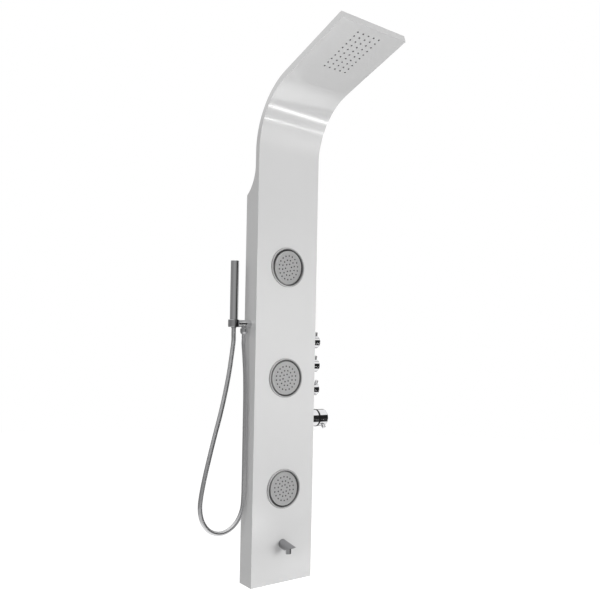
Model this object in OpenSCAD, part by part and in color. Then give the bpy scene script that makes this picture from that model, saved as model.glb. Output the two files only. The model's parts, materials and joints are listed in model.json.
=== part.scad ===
// Wall-hung shower panel column. Millimetres, +Z up. The wall is the plane y = 0, the
// front faces -Y, and z = 0 is the bottom edge of the folded steel front.

/* [Panel] */
// Width of the folded front
panel_w = 205; // [190:1:240]
// Depth of the box from the wall to the front face
panel_d = 60; // [58:1:70]
// Thickness of the stainless sheet
sheet_t = 1.2; // [1:0.1:1.5]
// Height at which the front starts to bend forward
bend_z = 1205; // [1195:5:1300]
// Radius of the front face through the bend
bend_r = 170.6; // [150:0.2:200]
// Angle that the bend turns through, in degrees
bend_turn = 73.7398; // [60:0.0001:85]
// Length of the straight head past the bend
head_len = 235; // [230:1:280]
// Depth of the slim neck and head
neck_d = 17; // [16.5:0.1:18]
// Height at which the slim neck is reached
flare_z = 1170; // [1160:1:1190]
// Radius of the scoop from the deep box to the neck
flare_r = 93.2; // [85:0.2:105]
// Width of the folded return lips at the back
lip_w = 12; // [10:0.5:14]
// Thickness of the sheet that closes the back of the neck and head
cover_t = 1; // [0.8:0.1:1.2]

/* [Rain head] */
// Nozzles across the head
rain_cols = 5; // [3:2:5]
// Nozzles along the head
rain_rows = 10; // [6:1:10]
// Distance between nozzles across the head
rain_pitch_x = 17; // [15:0.5:18]
// Distance between nozzles along the head
rain_pitch_s = 14.9; // [13:0.1:15]
// Distance of the last row from the head's tip
rain_tip_in = 24.6; // [20:0.1:40]

/* [Body jets] */
// Height of the top jet
top_jet_z = 892.5; // [880:0.5:920]
// Height of the middle jet
middle_jet_z = 579.5; // [575:0.5:585]
// Height of the bottom jet
bottom_jet_z = 265.5; // [250:0.5:270]
// Radius of a jet's chrome bezel
bezel_r = 55.5; // [55:0.1:57]
// Height of the bezel above the front face
bezel_h = 4; // [3:0.1:5]
// Radius of the tilting spray disc
disc_r = 47.6; // [46:0.1:47.8]
// Largest tilt of a spray disc each way
jet_tilt_max = 12; // [8:1:12]

/* [Controls] */
// Height of the top diverter knob
knob_z = 685; // [683:1:688]
// Distance between the diverter knobs
knob_pitch = 70; // [68:1:71]
// Radius of a diverter knob
knob_r = 18.5; // [18:0.1:21]
// Length that a knob stands out from the side
knob_len = 28.5; // [26:0.5:40]
// Height of the mixer handle's axis
mixer_z = 459; // [457:1:461]
// Radius of the mixer sleeve and handle
mixer_r = 25; // [24.5:0.1:28]
// Length of the fixed mixer sleeve
sleeve_len = 25; // [24:0.5:40]
// Length of the mixer handle
handle_len = 28; // [26:0.5:40]
// Radius of a half inch pipe thread
inlet_r = 10.48; // [10.4:0.01:10.6]

/* [Handset] */
// Distance of the handset's axis from the panel's side
handset_out = 51.5; // [50:0.5:55]
// Depth of the handset's axis from the wall
handset_u = 28; // [26:0.5:30]
// Height of the holder's bar
holder_z = 729; // [727:1:732]
// Radius of the holder's bar
bar_r = 10; // [9.5:0.1:10.5]
// Radius of the handset's tube
handset_r = 11.2; // [11:0.1:12]
// Length of the handset above its cone nut
handset_len = 160; // [150:1:190]

/* [Shower hose] */
// Radius of the hose over its ribs
hose_r = 6.2; // [6:0.1:6.5]
// Radius of the bore of the hose
hose_bore_r = 4; // [3.5:0.1:4.2]
// Number of ribs along the hose
hose_ribs = 160; // [100:1:200]

/* [Spout] */
// Height of the tub spout
spout_z = 110; // [108:1:115]
// Radius of the spout
spout_r = 13; // [12.8:0.1:14]
// Length of the spout along its top
spout_len = 61; // [58:1:70]
// Angle by which the spout slopes down
spout_tilt = 9; // [6:0.5:10]

/* [Hidden] */
$fn = 64;
over = 1;
run_gap = 0.05;
slip_gap = 0.2;
seat_gap = 0.3;

side_x = panel_w / 2;
wall_in_x = side_x - sheet_t;
skin_back_u = panel_d - sheet_t;
neck_u = panel_d - neck_d;
bend_u = panel_d + bend_r;
bend_side_turn = 3;
rain_first_s = head_len - rain_tip_in - (rain_rows - 1) * rain_pitch_s;
head_end_z = bend_z + head_len;
side_u = panel_d / 2;
lip_mid_x = side_x - lip_w / 2;

steel = [0.80, 0.80, 0.80];
chrome = [0.88, 0.89, 0.90];
plastic = [0.25, 0.25, 0.26];
silicone = [0.35, 0.35, 0.36];
brass = [0.78, 0.63, 0.32];

// Frames: local z points out of the front, the right side, the left side, or past the bend
module on_front(x, z) translate([x, 0, z]) rotate([90, 0, 0]) children();
module on_right(u, z) translate([0, -u, z]) rotate([0, 90, 0]) children();
module on_left(u, z) translate([0, -u, z]) rotate([0, -90, 0]) children();
module past_bend() translate([0, -bend_u, bend_z]) rotate([bend_turn, 0, 0])
    translate([0, bend_u, -bend_z]) children();

// A box across the middle of the panel, from depth u0 to u1 and height z0 to z1
module slab(w, u0, u1, z0, z1) translate([-w / 2, -u1, z0]) cube([w, u1 - u0, z1 - z0]);
module box(x0, x1, u0, u1, z0, z1) translate([x0, -u1, z0]) cube([x1 - x0, u1 - u0, z1 - z0]);
module ring(r_out, r_in, z0, z1) difference() {
    translate([0, 0, z0]) cylinder(r = r_out, h = z1 - z0);
    translate([0, 0, z0 - over]) cylinder(r = r_in, h = z1 - z0 + 2 * over);
}
module rod(r, z0, z1) translate([0, 0, z0]) cylinder(r = r, h = z1 - z0);
module hex_nut(r_corner, r_in, z0, z1) difference() {
    translate([0, 0, z0]) cylinder(r = r_corner, h = z1 - z0, $fn = 6);
    translate([0, 0, z0 - over]) cylinder(r = r_in, h = z1 - z0 + 2 * over);
}
// A turned cylinder with an eased edge at its outer end
module turned(r, z0, z1, edge) rotate_extrude() union() {
    translate([0, z0]) square([r, z1 - z0 - edge]);
    translate([0, z0]) square([r - edge, z1 - z0]);
    translate([r - edge, z1 - edge]) circle(r = edge, $fn = 32);
}

// A round pipe through points, each corner an arc of radius corner_r. The straight runs
// reach a little way into the arcs, which are slimmer by a hair, so that all join
function unit(v) = v / norm(v);
function turn_of(a, b) = acos(max(-1, min(1, a * b)));
function trim(pts, i, corner_r) = (i == 0 || i == len(pts) - 1) ? 0 :
    corner_r * tan(turn_of(unit(pts[i] - pts[i - 1]), unit(pts[i + 1] - pts[i])) / 2);
joint_lap = 0.5;
joint_slim = 0.03;
module along(p, dir, side) multmatrix([
    [side.x, cross(dir, side).x, dir.x, p.x],
    [side.y, cross(dir, side).y, dir.y, p.y],
    [side.z, cross(dir, side).z, dir.z, p.z],
    [0, 0, 0, 1]]) children();
function any_side(d) = abs(d.y) < 0.9 ? unit(cross(d, [0, 1, 0])) : unit(cross(d, [1, 0, 0]));
module pipe(pts, r, corner_r) union() {
    for (i = [0:len(pts) - 2]) {
        d = unit(pts[i + 1] - pts[i]);
        a = trim(pts, i, corner_r);
        run = norm(pts[i + 1] - pts[i]) - a - trim(pts, i + 1, corner_r);
        back = i == 0 ? 0 : joint_lap;
        fore = i == len(pts) - 2 ? 0 : joint_lap;
        along(pts[i] + (a - back) * d, d, any_side(d)) cylinder(r = r, h = run + back + fore);
    }
    for (i = [1:len(pts) - 2]) {
        d0 = unit(pts[i] - pts[i - 1]);
        d1 = unit(pts[i + 1] - pts[i]);
        axis = unit(cross(d0, d1));
        out = cross(d0, axis);
        centre = pts[i] - trim(pts, i, corner_r) * d0 - corner_r * out;
        along(centre, axis, out) rotate_extrude(angle = turn_of(d0, d1))
            translate([corner_r, 0]) circle(r = r - joint_slim);
    }
}

// Panel

// Side views of the column, drawn with y across and z up, then carried across its width
module across(w) rotate([90, 0, 90]) linear_extrude(w, center = true) children();
module flat(u0, u1, z0, z1) translate([-u1, z0]) square([u1 - u0, z1 - z0]);
// All that lies inside the bend of a face of radius r, from height z0 to s1 past the bend
function polar(r, turn) = [r * cos(turn), r * sin(turn)];
module inside_bend(r, z0, s1) translate([-bend_u, bend_z]) union() {
    translate([0, z0 - bend_z]) square([r, bend_z - z0]);
    rotate(bend_turn) square([r, s1]);
    intersection() {
        circle(r = r);
        polygon([[0, 0], polar(2 * r, -bend_side_turn), polar(2 * r, bend_turn + bend_side_turn)]);
    }
}
// A strip round the bend, between the radii r0 and r1
module bent_strip(r0, r1, z0, s1) difference() {
    inside_bend(r1, z0, s1);
    inside_bend(r0, z0 - over, s1 + over);
}
// All that lies behind a face whose scoop has radius r, up to height z1
module behind_scoop(r, z1) translate([flare_r - neck_u, flare_z]) union() {
    circle(r = r);
    translate([-r, 0]) square([r, z1 - flare_z]);
}

// The space that the column fills, drawn in from its front, back, sides, bottom and tip
module column_mass(front_in, back_in, low_back, side_in, bottom_in, tip_in)
    across(panel_w - 2 * side_in) union() {
        difference() {
            flat(low_back, panel_d - front_in, bottom_in, flare_z);
            translate([flare_r - neck_u, flare_z]) circle(r = flare_r + back_in);
        }
        bent_strip(bend_r + front_in, bend_r + neck_d - back_in, flare_z - flare_r / 2,
            head_len - tip_in);
    }

screw_r = 1.5;
screw_head_r = 3;
screw_head_h = 1.6;
screw_len = 5;
screw_first_s = 30;
screw_tip_in = 13;
screw_last_s = head_len - screw_tip_in;
screw_s = [screw_first_s, (screw_first_s + screw_last_s) / 2, screw_last_s];
module at_cover_screws() for (s = screw_s, x = [-lip_mid_x, lip_mid_x])
    past_bend() translate([x, -neck_u, bend_z + s]) rotate([90, 0, 0]) children();

rain_hole_r = 2.2;
function rain_x(i) = (i - (rain_cols - 1) / 2) * rain_pitch_x;
function rain_z(j) = bend_z + rain_first_s + j * rain_pitch_s;
module at_rain_nozzles() for (i = [0:rain_cols - 1], j = [0:rain_rows - 1])
    past_bend() on_front(rain_x(i), rain_z(j)) children();

jet_zs = [top_jet_z, middle_jet_z, bottom_jet_z];
bezel_bore_r = disc_r + 1.9;
sleeve_wall = 1.8;
jet_hole_r = bezel_bore_r + sleeve_wall + slip_gap * 2;

valve_neck_r = 10;
mixer_neck_r = 17;
shank_r = 8;
shank_nut_r = 14;
knob_zs = [knob_z, knob_z - knob_pitch, knob_z - 2 * knob_pitch];

module front_shell() color(steel) difference() {
    column_mass(0, cover_t, 0, 0, 0, 0);
    column_mass(sheet_t, cover_t + sheet_t, sheet_t, sheet_t, sheet_t, sheet_t);
    column_mass(sheet_t * 2, -over, -over, lip_w, lip_w, lip_w);
    for (z = jet_zs) on_front(0, z) rod(jet_hole_r, skin_back_u - over, panel_d + over);
    on_front(0, spout_z) rod(shank_r + slip_gap, skin_back_u - over, panel_d + over);
    for (z = knob_zs) on_right(side_u, z)
        rod(valve_neck_r + slip_gap, wall_in_x - over, side_x + over);
    on_right(side_u, mixer_z) rod(mixer_neck_r + slip_gap, wall_in_x - over, side_x + over);
    on_left(handset_u, holder_z) rod(shank_r + slip_gap, wall_in_x - over, side_x + over);
    at_rain_nozzles() rod(rain_hole_r, skin_back_u - over, panel_d + over);
    at_cover_screws() rod(screw_r + slip_gap, -over, screw_len + over);
}

module head_cover() color(steel) difference() {
    across(panel_w) union() {
        intersection() {
            difference() {
                behind_scoop(flare_r + cover_t, (flare_z + bend_z) / 2);
                behind_scoop(flare_r, bend_z);
            }
            flat(0, neck_u + 2 * cover_t, flare_z - flare_r, bend_z);
        }
        bent_strip(bend_r + neck_d - cover_t, bend_r + neck_d, flare_z, head_len);
    }
    at_cover_screws() rod(screw_r + slip_gap, -over, screw_len + over);
}

module cover_screws() color(chrome) at_cover_screws() {
    rod(screw_r, 0, screw_len);
    rod(screw_head_r, -screw_head_h, 0);
}

// Wall brackets and the straps that hang on them
upper_hang_z = 1010;
lower_hang_z = 60;
bracket_w = 120;
bracket_t = 2;
bracket_below = 26;
bracket_above = 14;
ledge_u = 12;
bracket_hole_r = 3.25;
bracket_hole_x = 45;
bracket_hole_drop = 14;
module wall_bracket(z) difference() {
    union() {
        slab(bracket_w, 0, bracket_t, z - bracket_below, z + bracket_above);
        slab(bracket_w, 0, ledge_u, z - bracket_t, z);
        slab(bracket_w, ledge_u - bracket_t, ledge_u, z - bracket_t, z + bracket_above);
    }
    for (x = [-bracket_hole_x, bracket_hole_x]) on_front(x, z - bracket_hole_drop)
        rod(bracket_hole_r, -over, bracket_t + over);
}
module wall_brackets() color(steel) for (z = [upper_hang_z, lower_hang_z]) wall_bracket(z);

strap_t = 2;
strap_u = 5;
strap_h = 30;
strap_tab_w = 9;
module hanger_strap(z) {
    foot_x = wall_in_x - slip_gap;
    slab(2 * (foot_x - strap_tab_w), strap_u, strap_u + strap_t, z, z + strap_h);
    for (side = [-1, 1]) {
        x0 = side * (foot_x - strap_tab_w / 2);
        translate([x0, 0, 0]) slab(strap_tab_w, sheet_t, sheet_t + strap_t, z, z + strap_h);
        x1 = side * (foot_x - strap_tab_w + strap_t / 2);
        translate([x1, 0, 0]) slab(strap_t, sheet_t, strap_u + strap_t, z, z + strap_h);
    }
}
module hanger_straps() color(steel) for (z = [upper_hang_z, lower_hang_z]) hanger_strap(z);

// Rain head: a silicone mat whose nozzles stand in the sheet's holes, and its water box
mat_t = 2;
nozzle_r = 1.9;
nozzle_bore_r = 0.6;
nozzle_proud = 0.6;
mat_rim = 7;
mat_w = (rain_cols - 1) * rain_pitch_x + 2 * mat_rim;
mat_len = (rain_rows - 1) * rain_pitch_s + 2 * mat_rim;
mat_z0 = rain_z(0) - mat_rim;
module rain_nozzle_mat() color(silicone) difference() {
    union() {
        past_bend() slab(mat_w, skin_back_u - mat_t, skin_back_u, mat_z0, mat_z0 + mat_len);
        at_rain_nozzles() rod(nozzle_r, skin_back_u - mat_t, panel_d + nozzle_proud);
    }
    at_rain_nozzles() rod(nozzle_bore_r, skin_back_u - mat_t - over, panel_d + nozzle_proud + over);
}

chamber_wall = 1.6;
chamber_h = 8.4;
spigot_r = 3.2;
spigot_len = 12;
feed_r = 5.2;
chamber_u = skin_back_u - mat_t;
feed_u = chamber_u - chamber_h / 2;
spigot_z = mat_z0 - spigot_len;
module rain_chamber() color(plastic) past_bend() difference() {
    union() {
        slab(mat_w, chamber_u - chamber_h, chamber_u, mat_z0, mat_z0 + mat_len);
        translate([0, -feed_u, spigot_z]) cylinder(r = feed_r, h = spigot_len);
    }
    slab(mat_w - 2 * chamber_wall, chamber_u - chamber_h + chamber_wall, chamber_u + over,
        mat_z0 + chamber_wall, mat_z0 + mat_len - chamber_wall);
    translate([0, -feed_u, spigot_z - over])
        cylinder(r = spigot_r, h = spigot_len + chamber_wall + 2 * over);
}

// Rain feed: down the head, round the bend, down the neck and back to the manifold
wall_gap = 1;
manifold_r = 13.5;
manifold_x = wall_in_x - wall_gap - manifold_r;
manifold_z0 = 520;
manifold_above = 30;
manifold_top = knob_z + manifold_above;
port_len = 20;
hose_corner_r = 30;
swerve_top_z = 1120;
swerve_low_z = 1030;
dive_top_z = 860;
dive_low_z = 800;
module head_hose() color(plastic) union() {
    past_bend() translate([0, -feed_u, bend_z - joint_lap])
        cylinder(r = feed_r, h = spigot_z - bend_z + joint_lap);
    translate([0, -bend_u, bend_z]) rotate([90, 0, 90]) rotate_extrude(angle = bend_turn)
        translate([bend_u - feed_u, 0]) circle(r = feed_r - joint_slim);
    pipe([[0, -feed_u, bend_z + joint_lap], [0, -feed_u, swerve_top_z],
        [manifold_x, -feed_u, swerve_low_z], [manifold_x, -feed_u, dive_top_z],
        [manifold_x, -side_u, dive_low_z], [manifold_x, -side_u, manifold_top + port_len]],
        feed_r, hose_corner_r);
}

// Body jets: a fixed bezel, cup and ball; a disc that tilts on the ball's friction ring
sleeve_end_u = 46;
bezel_edge = 1.5;
gasket_t = 1.5;
gasket_r = 59;
flange_r = 60;
flange_t = 3;
cup_wall = 3;
cup_back_u = 30;
flange_u = skin_back_u - gasket_t;
cup_r = jet_hole_r + cup_wall;
tee_u = 22;
tee_r = 6;
tee_len = 30;
boss_r = 8;
boss_u = 14;
ball_u = 49;
ball_r = 9;
ball_stem_r = 4;
ball_foot_r = 8;
ball_foot_t = 3;
jet_bore_r = 2;
ring_gap = 0.15;
ring_out_r = 11;
ring_half = 4;

module bezel() union() {
    rotate_extrude() union() {
        translate([bezel_bore_r, panel_d])
            square([bezel_r - bezel_bore_r, bezel_h - bezel_edge]);
        translate([bezel_bore_r + bezel_edge, panel_d])
            square([bezel_r - bezel_bore_r - 2 * bezel_edge, bezel_h]);
        for (r = [bezel_bore_r + bezel_edge, bezel_r - bezel_edge])
            translate([r, panel_d + bezel_h - bezel_edge]) circle(r = bezel_edge, $fn = 32);
    }
    ring(bezel_bore_r + sleeve_wall, bezel_bore_r, sleeve_end_u, panel_d);
}
module jet_bezels() color(chrome) for (z = jet_zs) on_front(0, z) bezel();
module jet_gaskets() color(silicone) for (z = jet_zs)
    on_front(0, z) ring(gasket_r, jet_hole_r, flange_u, skin_back_u);

// tails: where a cup's hose tails point, as [up, down, right]
module jet_housing(tails) difference() {
    union() {
        ring(flange_r, jet_hole_r, flange_u - flange_t, flange_u);
        ring(cup_r, jet_hole_r, cup_back_u, flange_u);
        rod(cup_r, cup_back_u, cup_back_u + cup_wall);
        rod(boss_r, boss_u, cup_back_u);
        translate([0, 0, tee_u]) {
            if (tails[0] == 1) rotate([-90, 0, 0]) cylinder(r = tee_r, h = tee_len);
            if (tails[1] == 1) rotate([90, 0, 0]) cylinder(r = tee_r, h = tee_len);
            if (tails[2] == 1) rotate([0, 90, 0]) cylinder(r = tee_r, h = tee_len);
        }
    }
    rod(jet_bore_r, tee_u, cup_back_u + cup_wall + over);
}
module jet_housings() color(plastic) {
    on_front(0, top_jet_z) jet_housing([0, 1, 0]);
    on_front(0, middle_jet_z) jet_housing([1, 1, 1]);
    on_front(0, bottom_jet_z) jet_housing([1, 0, 0]);
}
module ball_stem() difference() {
    union() {
        rod(ball_foot_r, cup_back_u + cup_wall, cup_back_u + cup_wall + ball_foot_t);
        rod(ball_stem_r, cup_back_u + cup_wall, ball_u);
        translate([0, 0, ball_u]) sphere(r = ball_r);
    }
    rod(jet_bore_r, cup_back_u, ball_u + ball_r + over);
}
module jet_ball_stems() color(brass) for (z = jet_zs) on_front(0, z) ball_stem();

jet_hose_r = 7;
module jet_hoses() color(plastic) {
    translate([0, -tee_u, middle_jet_z + tee_len])
        cylinder(r = jet_hose_r, h = top_jet_z - middle_jet_z - 2 * tee_len);
    translate([0, -tee_u, bottom_jet_z + tee_len])
        cylinder(r = jet_hose_r, h = middle_jet_z - bottom_jet_z - 2 * tee_len);
    on_right(tee_u, middle_jet_z) rod(jet_hose_r, tee_len, manifold_x - port_len);
}

// The discs as left by the last user: tilt about X, then about the turned Z, in degrees
top_aim = [4, 4];
middle_aim = [0, 0];
bottom_aim = [-3, 3];
module at_ball(z, aim) translate([0, -ball_u, z]) rotate([aim[0], 0, 0]) rotate([0, 0, aim[1]])
    rotate([90, 0, 0]) children();

module jet_ring(z, aim) color(plastic) at_ball(z, [aim[0], 0]) intersection() {
    difference() {
        sphere(r = ring_out_r);
        sphere(r = ball_r + ring_gap);
    }
    rod(ring_out_r + over, -ring_half, ring_half);
}

disc_front = 13.5;
disc_back = 7;
disc_edge = 1.2;
face_t = 1.6;
disc_rim = 2;
plate_t = 1.5;
hub_r = 14;
hub_back = 6;
socket_h = 6.1;
socket_way_r = 9.3;
mat_ply = 2;
mat_foot = 2.4;
jet_hole_counts = [6, 12, 18];
jet_ring_shares = [0.225, 0.45, 0.7];
jet_ring_turns = [12, 15, 10];
jet_nozzle_r = 1.7;
jet_nozzle_gap = 0.15;
jet_nozzle_bore_r = 0.6;
jet_nozzle_sunk = 0.2;
disc_bore_r = disc_r - disc_rim;
module at_disc_nozzles() for (k = [0:2], i = [0:jet_hole_counts[k] - 1])
    rotate(i * 360 / jet_hole_counts[k] + jet_ring_turns[k])
        translate([jet_ring_shares[k] * disc_r, 0, 0]) children();

module jet_disc(z, aim) color(chrome) at_ball(z, aim) difference() {
    turned(disc_r, disc_back, disc_front, disc_edge);
    rod(disc_bore_r, disc_back - over, disc_front - face_t);
    at_disc_nozzles() rod(jet_nozzle_r + jet_nozzle_gap, disc_front - face_t - over, disc_front + over);
}
// The mat's nozzles stand in the face's holes, and its foot holds it off the socket's plate
module jet_nozzles(z, aim) color(silicone) at_ball(z, aim) difference() {
    union() {
        rod(disc_bore_r - slip_gap, disc_front - face_t - mat_ply, disc_front - face_t);
        ring(disc_bore_r - slip_gap, disc_bore_r - mat_foot, disc_back + plate_t,
            disc_front - face_t);
        at_disc_nozzles() rod(jet_nozzle_r, disc_front - face_t - mat_ply,
            disc_front - jet_nozzle_sunk);
    }
    at_disc_nozzles() rod(jet_nozzle_bore_r, disc_front - face_t - mat_ply - over,
        disc_front + over);
}
module jet_socket(z, aim) color(plastic) at_ball(z, aim) difference() {
    union() {
        rod(disc_bore_r - run_gap, disc_back, disc_back + plate_t);
        rod(hub_r, -hub_back, disc_back + plate_t);
    }
    intersection() {
        sphere(r = ring_out_r + ring_gap);
        rod(hub_r, -hub_r, socket_h);
    }
    rod(socket_way_r, 0, disc_back + plate_t + over);
}

// Diverter valves on the right side
neck_seat_r = 13;
cartridge_r = 8;
cartridge_in = 18.5;
cartridge_x0 = side_x - cartridge_in;
neck_out = 9;
cartridge_flange = 1.5;
stem_r = 3.5;
stem_in = 8.5;
stem_x0 = side_x - stem_in;
nut_r = 15;
nut_t = 5;
knob_gap = 0.8;
knob_skirt = 12;
knob_skirt_r = 16;
knob_edge = 1.2;
knob_end_t = 5;
knob_end_x = side_x + knob_len;
stem_end_x = knob_end_x - knob_end_t;
pin_r = 4.6;
pin_in = 5.5;
pin_x = knob_end_x - pin_in;
pin_sunk = 6;
pin_out = 10.5;
pin_edge = 1.5;
// How far each lever pin was left turned from straight up toward the front, in degrees
pin_leans = [8, 5, 24];
rain_port_r = 8;
handset_port_z = 655;
handset_port_u = 37;
handset_shift_in = 62.5;
handset_shift_x = handset_shift_in - side_x;
spout_port_z = 530;
spout_port_u = 20;
feed_hose_r = 6;

module diverter_manifold() color(brass) difference() {
    union() {
        translate([manifold_x, -side_u, manifold_z0])
            cylinder(r = manifold_r, h = manifold_top - manifold_z0);
        translate([manifold_x, -side_u, manifold_top - joint_lap])
            cylinder(r = rain_port_r, h = port_len + joint_lap);
        for (z = knob_zs) on_right(side_u, z) {
            rod(neck_seat_r, manifold_x, wall_in_x);
            rod(valve_neck_r, manifold_x, side_x + neck_out);
        }
        on_right(tee_u, middle_jet_z) rod(jet_hose_r, manifold_x - port_len, manifold_x);
        on_right(handset_port_u, handset_port_z) rod(jet_hose_r, manifold_x - port_len, manifold_x);
        on_right(spout_port_u, spout_port_z) rod(jet_hose_r, manifold_x - port_len, manifold_x);
    }
    for (z = knob_zs) on_right(side_u, z)
        rod(cartridge_r + slip_gap, cartridge_x0, side_x + neck_out + over);
}
module diverter_cartridges() color(plastic) for (z = knob_zs) on_right(side_u, z)
    difference() {
        union() {
            rod(cartridge_r, cartridge_x0, side_x + neck_out);
            rod(valve_neck_r, side_x + neck_out, side_x + neck_out + cartridge_flange);
        }
        rod(stem_r + run_gap, stem_x0, side_x + neck_out + cartridge_flange + over);
    }
module valve_lock_nuts() color(brass) for (z = knob_zs) on_right(side_u, z)
    hex_nut(nut_r, valve_neck_r + slip_gap, side_x, side_x + nut_t);
module at_pin(i) translate([pin_x, -side_u, knob_zs[i]]) rotate([pin_leans[i], 0, 0]) children();
module knob(i) color(chrome) difference() {
    on_right(side_u, knob_zs[i]) difference() {
        turned(knob_r, side_x + knob_gap, knob_end_x, knob_edge);
        rod(knob_skirt_r, side_x, side_x + knob_skirt);
        rod(stem_r, side_x, stem_end_x);
    }
    at_pin(i) rod(pin_r, knob_r - pin_sunk, knob_r + over);
}
module knob_pin(i) color(chrome) at_pin(i)
    turned(pin_r, knob_r - pin_sunk, knob_r + pin_out, pin_edge);
module knob_stem(i) color(brass) on_right(side_u, knob_zs[i]) rod(stem_r, stem_x0, stem_end_x);

// Mixer
mixer_body_r = 22;
mixer_in = 58.5;
mixer_x0 = side_x - mixer_in;
outlet_r = 11;
outlet_top = 25;
inlet_ins = [46.5, 14.5];
inlet_drop = 52;
inlet_thread = 18;
inlet_hex_r = 13;
mixer_nut_r = 21;
mixer_cartridge_r = 15;
mixer_cartridge_in = 32.5;
mixer_cartridge_x0 = side_x - mixer_cartridge_in;
mixer_stem_r = 5;
mixer_stem_in = 20;
sleeve_bore_r = 22.6;
sleeve_cap_t = 3.5;
seal_w = 6;
seal_deep = 4;
seal_edge = 1;
handle_gap = 0.3;
handle_edge = 2;
sleeve_end_x = side_x + sleeve_len;
mixer_stem_x0 = sleeve_end_x - mixer_stem_in;
handle_x0 = sleeve_end_x + seal_w + handle_gap;
handle_end_x = handle_x0 + handle_len;
lever_r = 5.5;
lever_lean = 35;
lever_in = 16;
lever_x = handle_x0 + lever_in;
lever_sunk = 8;
lever_out = 10;
lever_edge = 1.5;
handle_end_t = 10;

module mixer_body() color(brass) difference() {
    union() {
        on_right(side_u, mixer_z) {
            rod(mixer_body_r, mixer_x0, wall_in_x);
            rod(mixer_neck_r, mixer_x0, side_x + neck_out);
        }
        translate([manifold_x, -side_u, mixer_z]) cylinder(r = outlet_r, h = outlet_top);
        for (d = inlet_ins) translate([side_x - d, -side_u, mixer_z]) {
            rod(inlet_r, -inlet_drop, 0);
            translate([0, 0, -inlet_drop + inlet_thread])
                cylinder(r = inlet_hex_r, h = inlet_drop - inlet_thread, $fn = 6);
        }
    }
    on_right(side_u, mixer_z)
        rod(mixer_cartridge_r + slip_gap, mixer_cartridge_x0, side_x + neck_out + over);
}
module mixer_cartridge() color(plastic) on_right(side_u, mixer_z) difference() {
    rod(mixer_cartridge_r, mixer_cartridge_x0, sleeve_end_x);
    rod(mixer_stem_r + run_gap, mixer_stem_x0, sleeve_end_x + over);
}
module mixer_lock_nut() color(brass) on_right(side_u, mixer_z)
    hex_nut(mixer_nut_r, mixer_neck_r + slip_gap, side_x, side_x + nut_t);
module mixer_sleeve() color(chrome) on_right(side_u, mixer_z) difference() {
    rod(mixer_r, side_x, sleeve_end_x);
    rod(sleeve_bore_r, side_x - over, sleeve_end_x - sleeve_cap_t);
    rod(mixer_cartridge_r + slip_gap, side_x, sleeve_end_x + over);
}
module mixer_seal_ring() color(plastic) on_right(side_u, mixer_z) difference() {
    rotate_extrude() translate([0, sleeve_end_x]) union() {
        square([mixer_r - seal_edge, seal_w]);
        translate([0, seal_edge]) square([mixer_r, seal_w - 2 * seal_edge]);
        for (z = [seal_edge, seal_w - seal_edge])
            translate([mixer_r - seal_edge, z]) circle(r = seal_edge, $fn = 32);
    }
    rod(mixer_r - seal_deep, sleeve_end_x - over, sleeve_end_x + seal_w + over);
}
module at_lever() translate([lever_x, -side_u, mixer_z]) rotate([180 - lever_lean, 0, 0])
    children();
module mixer_handle() color(chrome) difference() {
    on_right(side_u, mixer_z) difference() {
        turned(mixer_r, handle_x0, handle_end_x, handle_edge);
        rod(mixer_stem_r, handle_x0 - over, handle_end_x - handle_end_t);
    }
    at_lever() rod(lever_r, mixer_r - lever_sunk, mixer_r + over);
}
module mixer_lever() color(chrome) at_lever()
    turned(lever_r, mixer_r - lever_sunk, mixer_r + lever_out, lever_edge);
module mixer_stem() color(brass) on_right(side_u, mixer_z)
    rod(mixer_stem_r, mixer_stem_x0, handle_end_x - handle_end_t);

link_r = 9;
link_nut_r = 13;
link_nut_t = 10;
module link_pipe() color(brass) translate([manifold_x, -side_u, 0]) {
    z0 = mixer_z + outlet_top;
    rod(link_r, z0, manifold_z0);
    for (z = [z0, manifold_z0 - link_nut_t])
        translate([0, 0, z]) cylinder(r = link_nut_r, h = link_nut_t, $fn = 6);
}

// Handset holder, which is also the hose outlet, on the left side
handset_x = -(side_x + handset_out);
cradle_r = 15.5;
cradle_bore_r = 13.2;
slot_w = 14.4;
outlet_out = 18.5;
outlet_x = -(side_x + outlet_out);
shank_in = 12;
outlet_neck_r = 7.5;
outlet_neck_low = 17;
hose_nut_r = 10.6;
hose_nut_top = 13;
hose_nut_low = 28;
hose_nut_lip = 5;
hose_nut_waist_r = 8.4;
cone_below = 3;
cone_low_z = holder_z - bar_r - cone_below;
cone_low_r = 6.9;
cone_lip = 1.5;
cone_top_z = holder_z + bar_r + cone_lip;
cone_slope = (handset_r - cone_low_r) / (cone_top_z - cone_low_z);
function cone_r_at(z) = cone_low_r + (z - cone_low_z) * cone_slope;

module at_handset() translate([handset_x, -handset_u, 0]) children();
module cradle_slot(r) translate([0, -r, holder_z])
    cube([slot_w, 2 * r, 2 * bar_r + 2 * over], center = true);
module handset_holder() color(chrome) difference() {
    union() {
        on_left(handset_u, holder_z) {
            rod(bar_r, side_x, -handset_x);
            rod(shank_r, side_x - shank_in, side_x);
        }
        at_handset() turned_cradle();
        translate([outlet_x, -handset_u, holder_z - outlet_neck_low])
            cylinder(r = outlet_neck_r, h = outlet_neck_low);
    }
    at_handset() {
        rod(cradle_bore_r, holder_z - bar_r - over, holder_z + bar_r + over);
        cradle_slot(cradle_r + over);
    }
}
cradle_edge = 1.5;
module turned_cradle() rotate_extrude() union() {
    translate([0, holder_z - bar_r]) square([cradle_r - cradle_edge, 2 * bar_r]);
    translate([0, holder_z - bar_r + cradle_edge])
        square([cradle_r, 2 * (bar_r - cradle_edge)]);
    for (z = [holder_z - bar_r + cradle_edge, holder_z + bar_r - cradle_edge])
        translate([cradle_r - cradle_edge, z]) circle(r = cradle_edge, $fn = 32);
}
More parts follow.
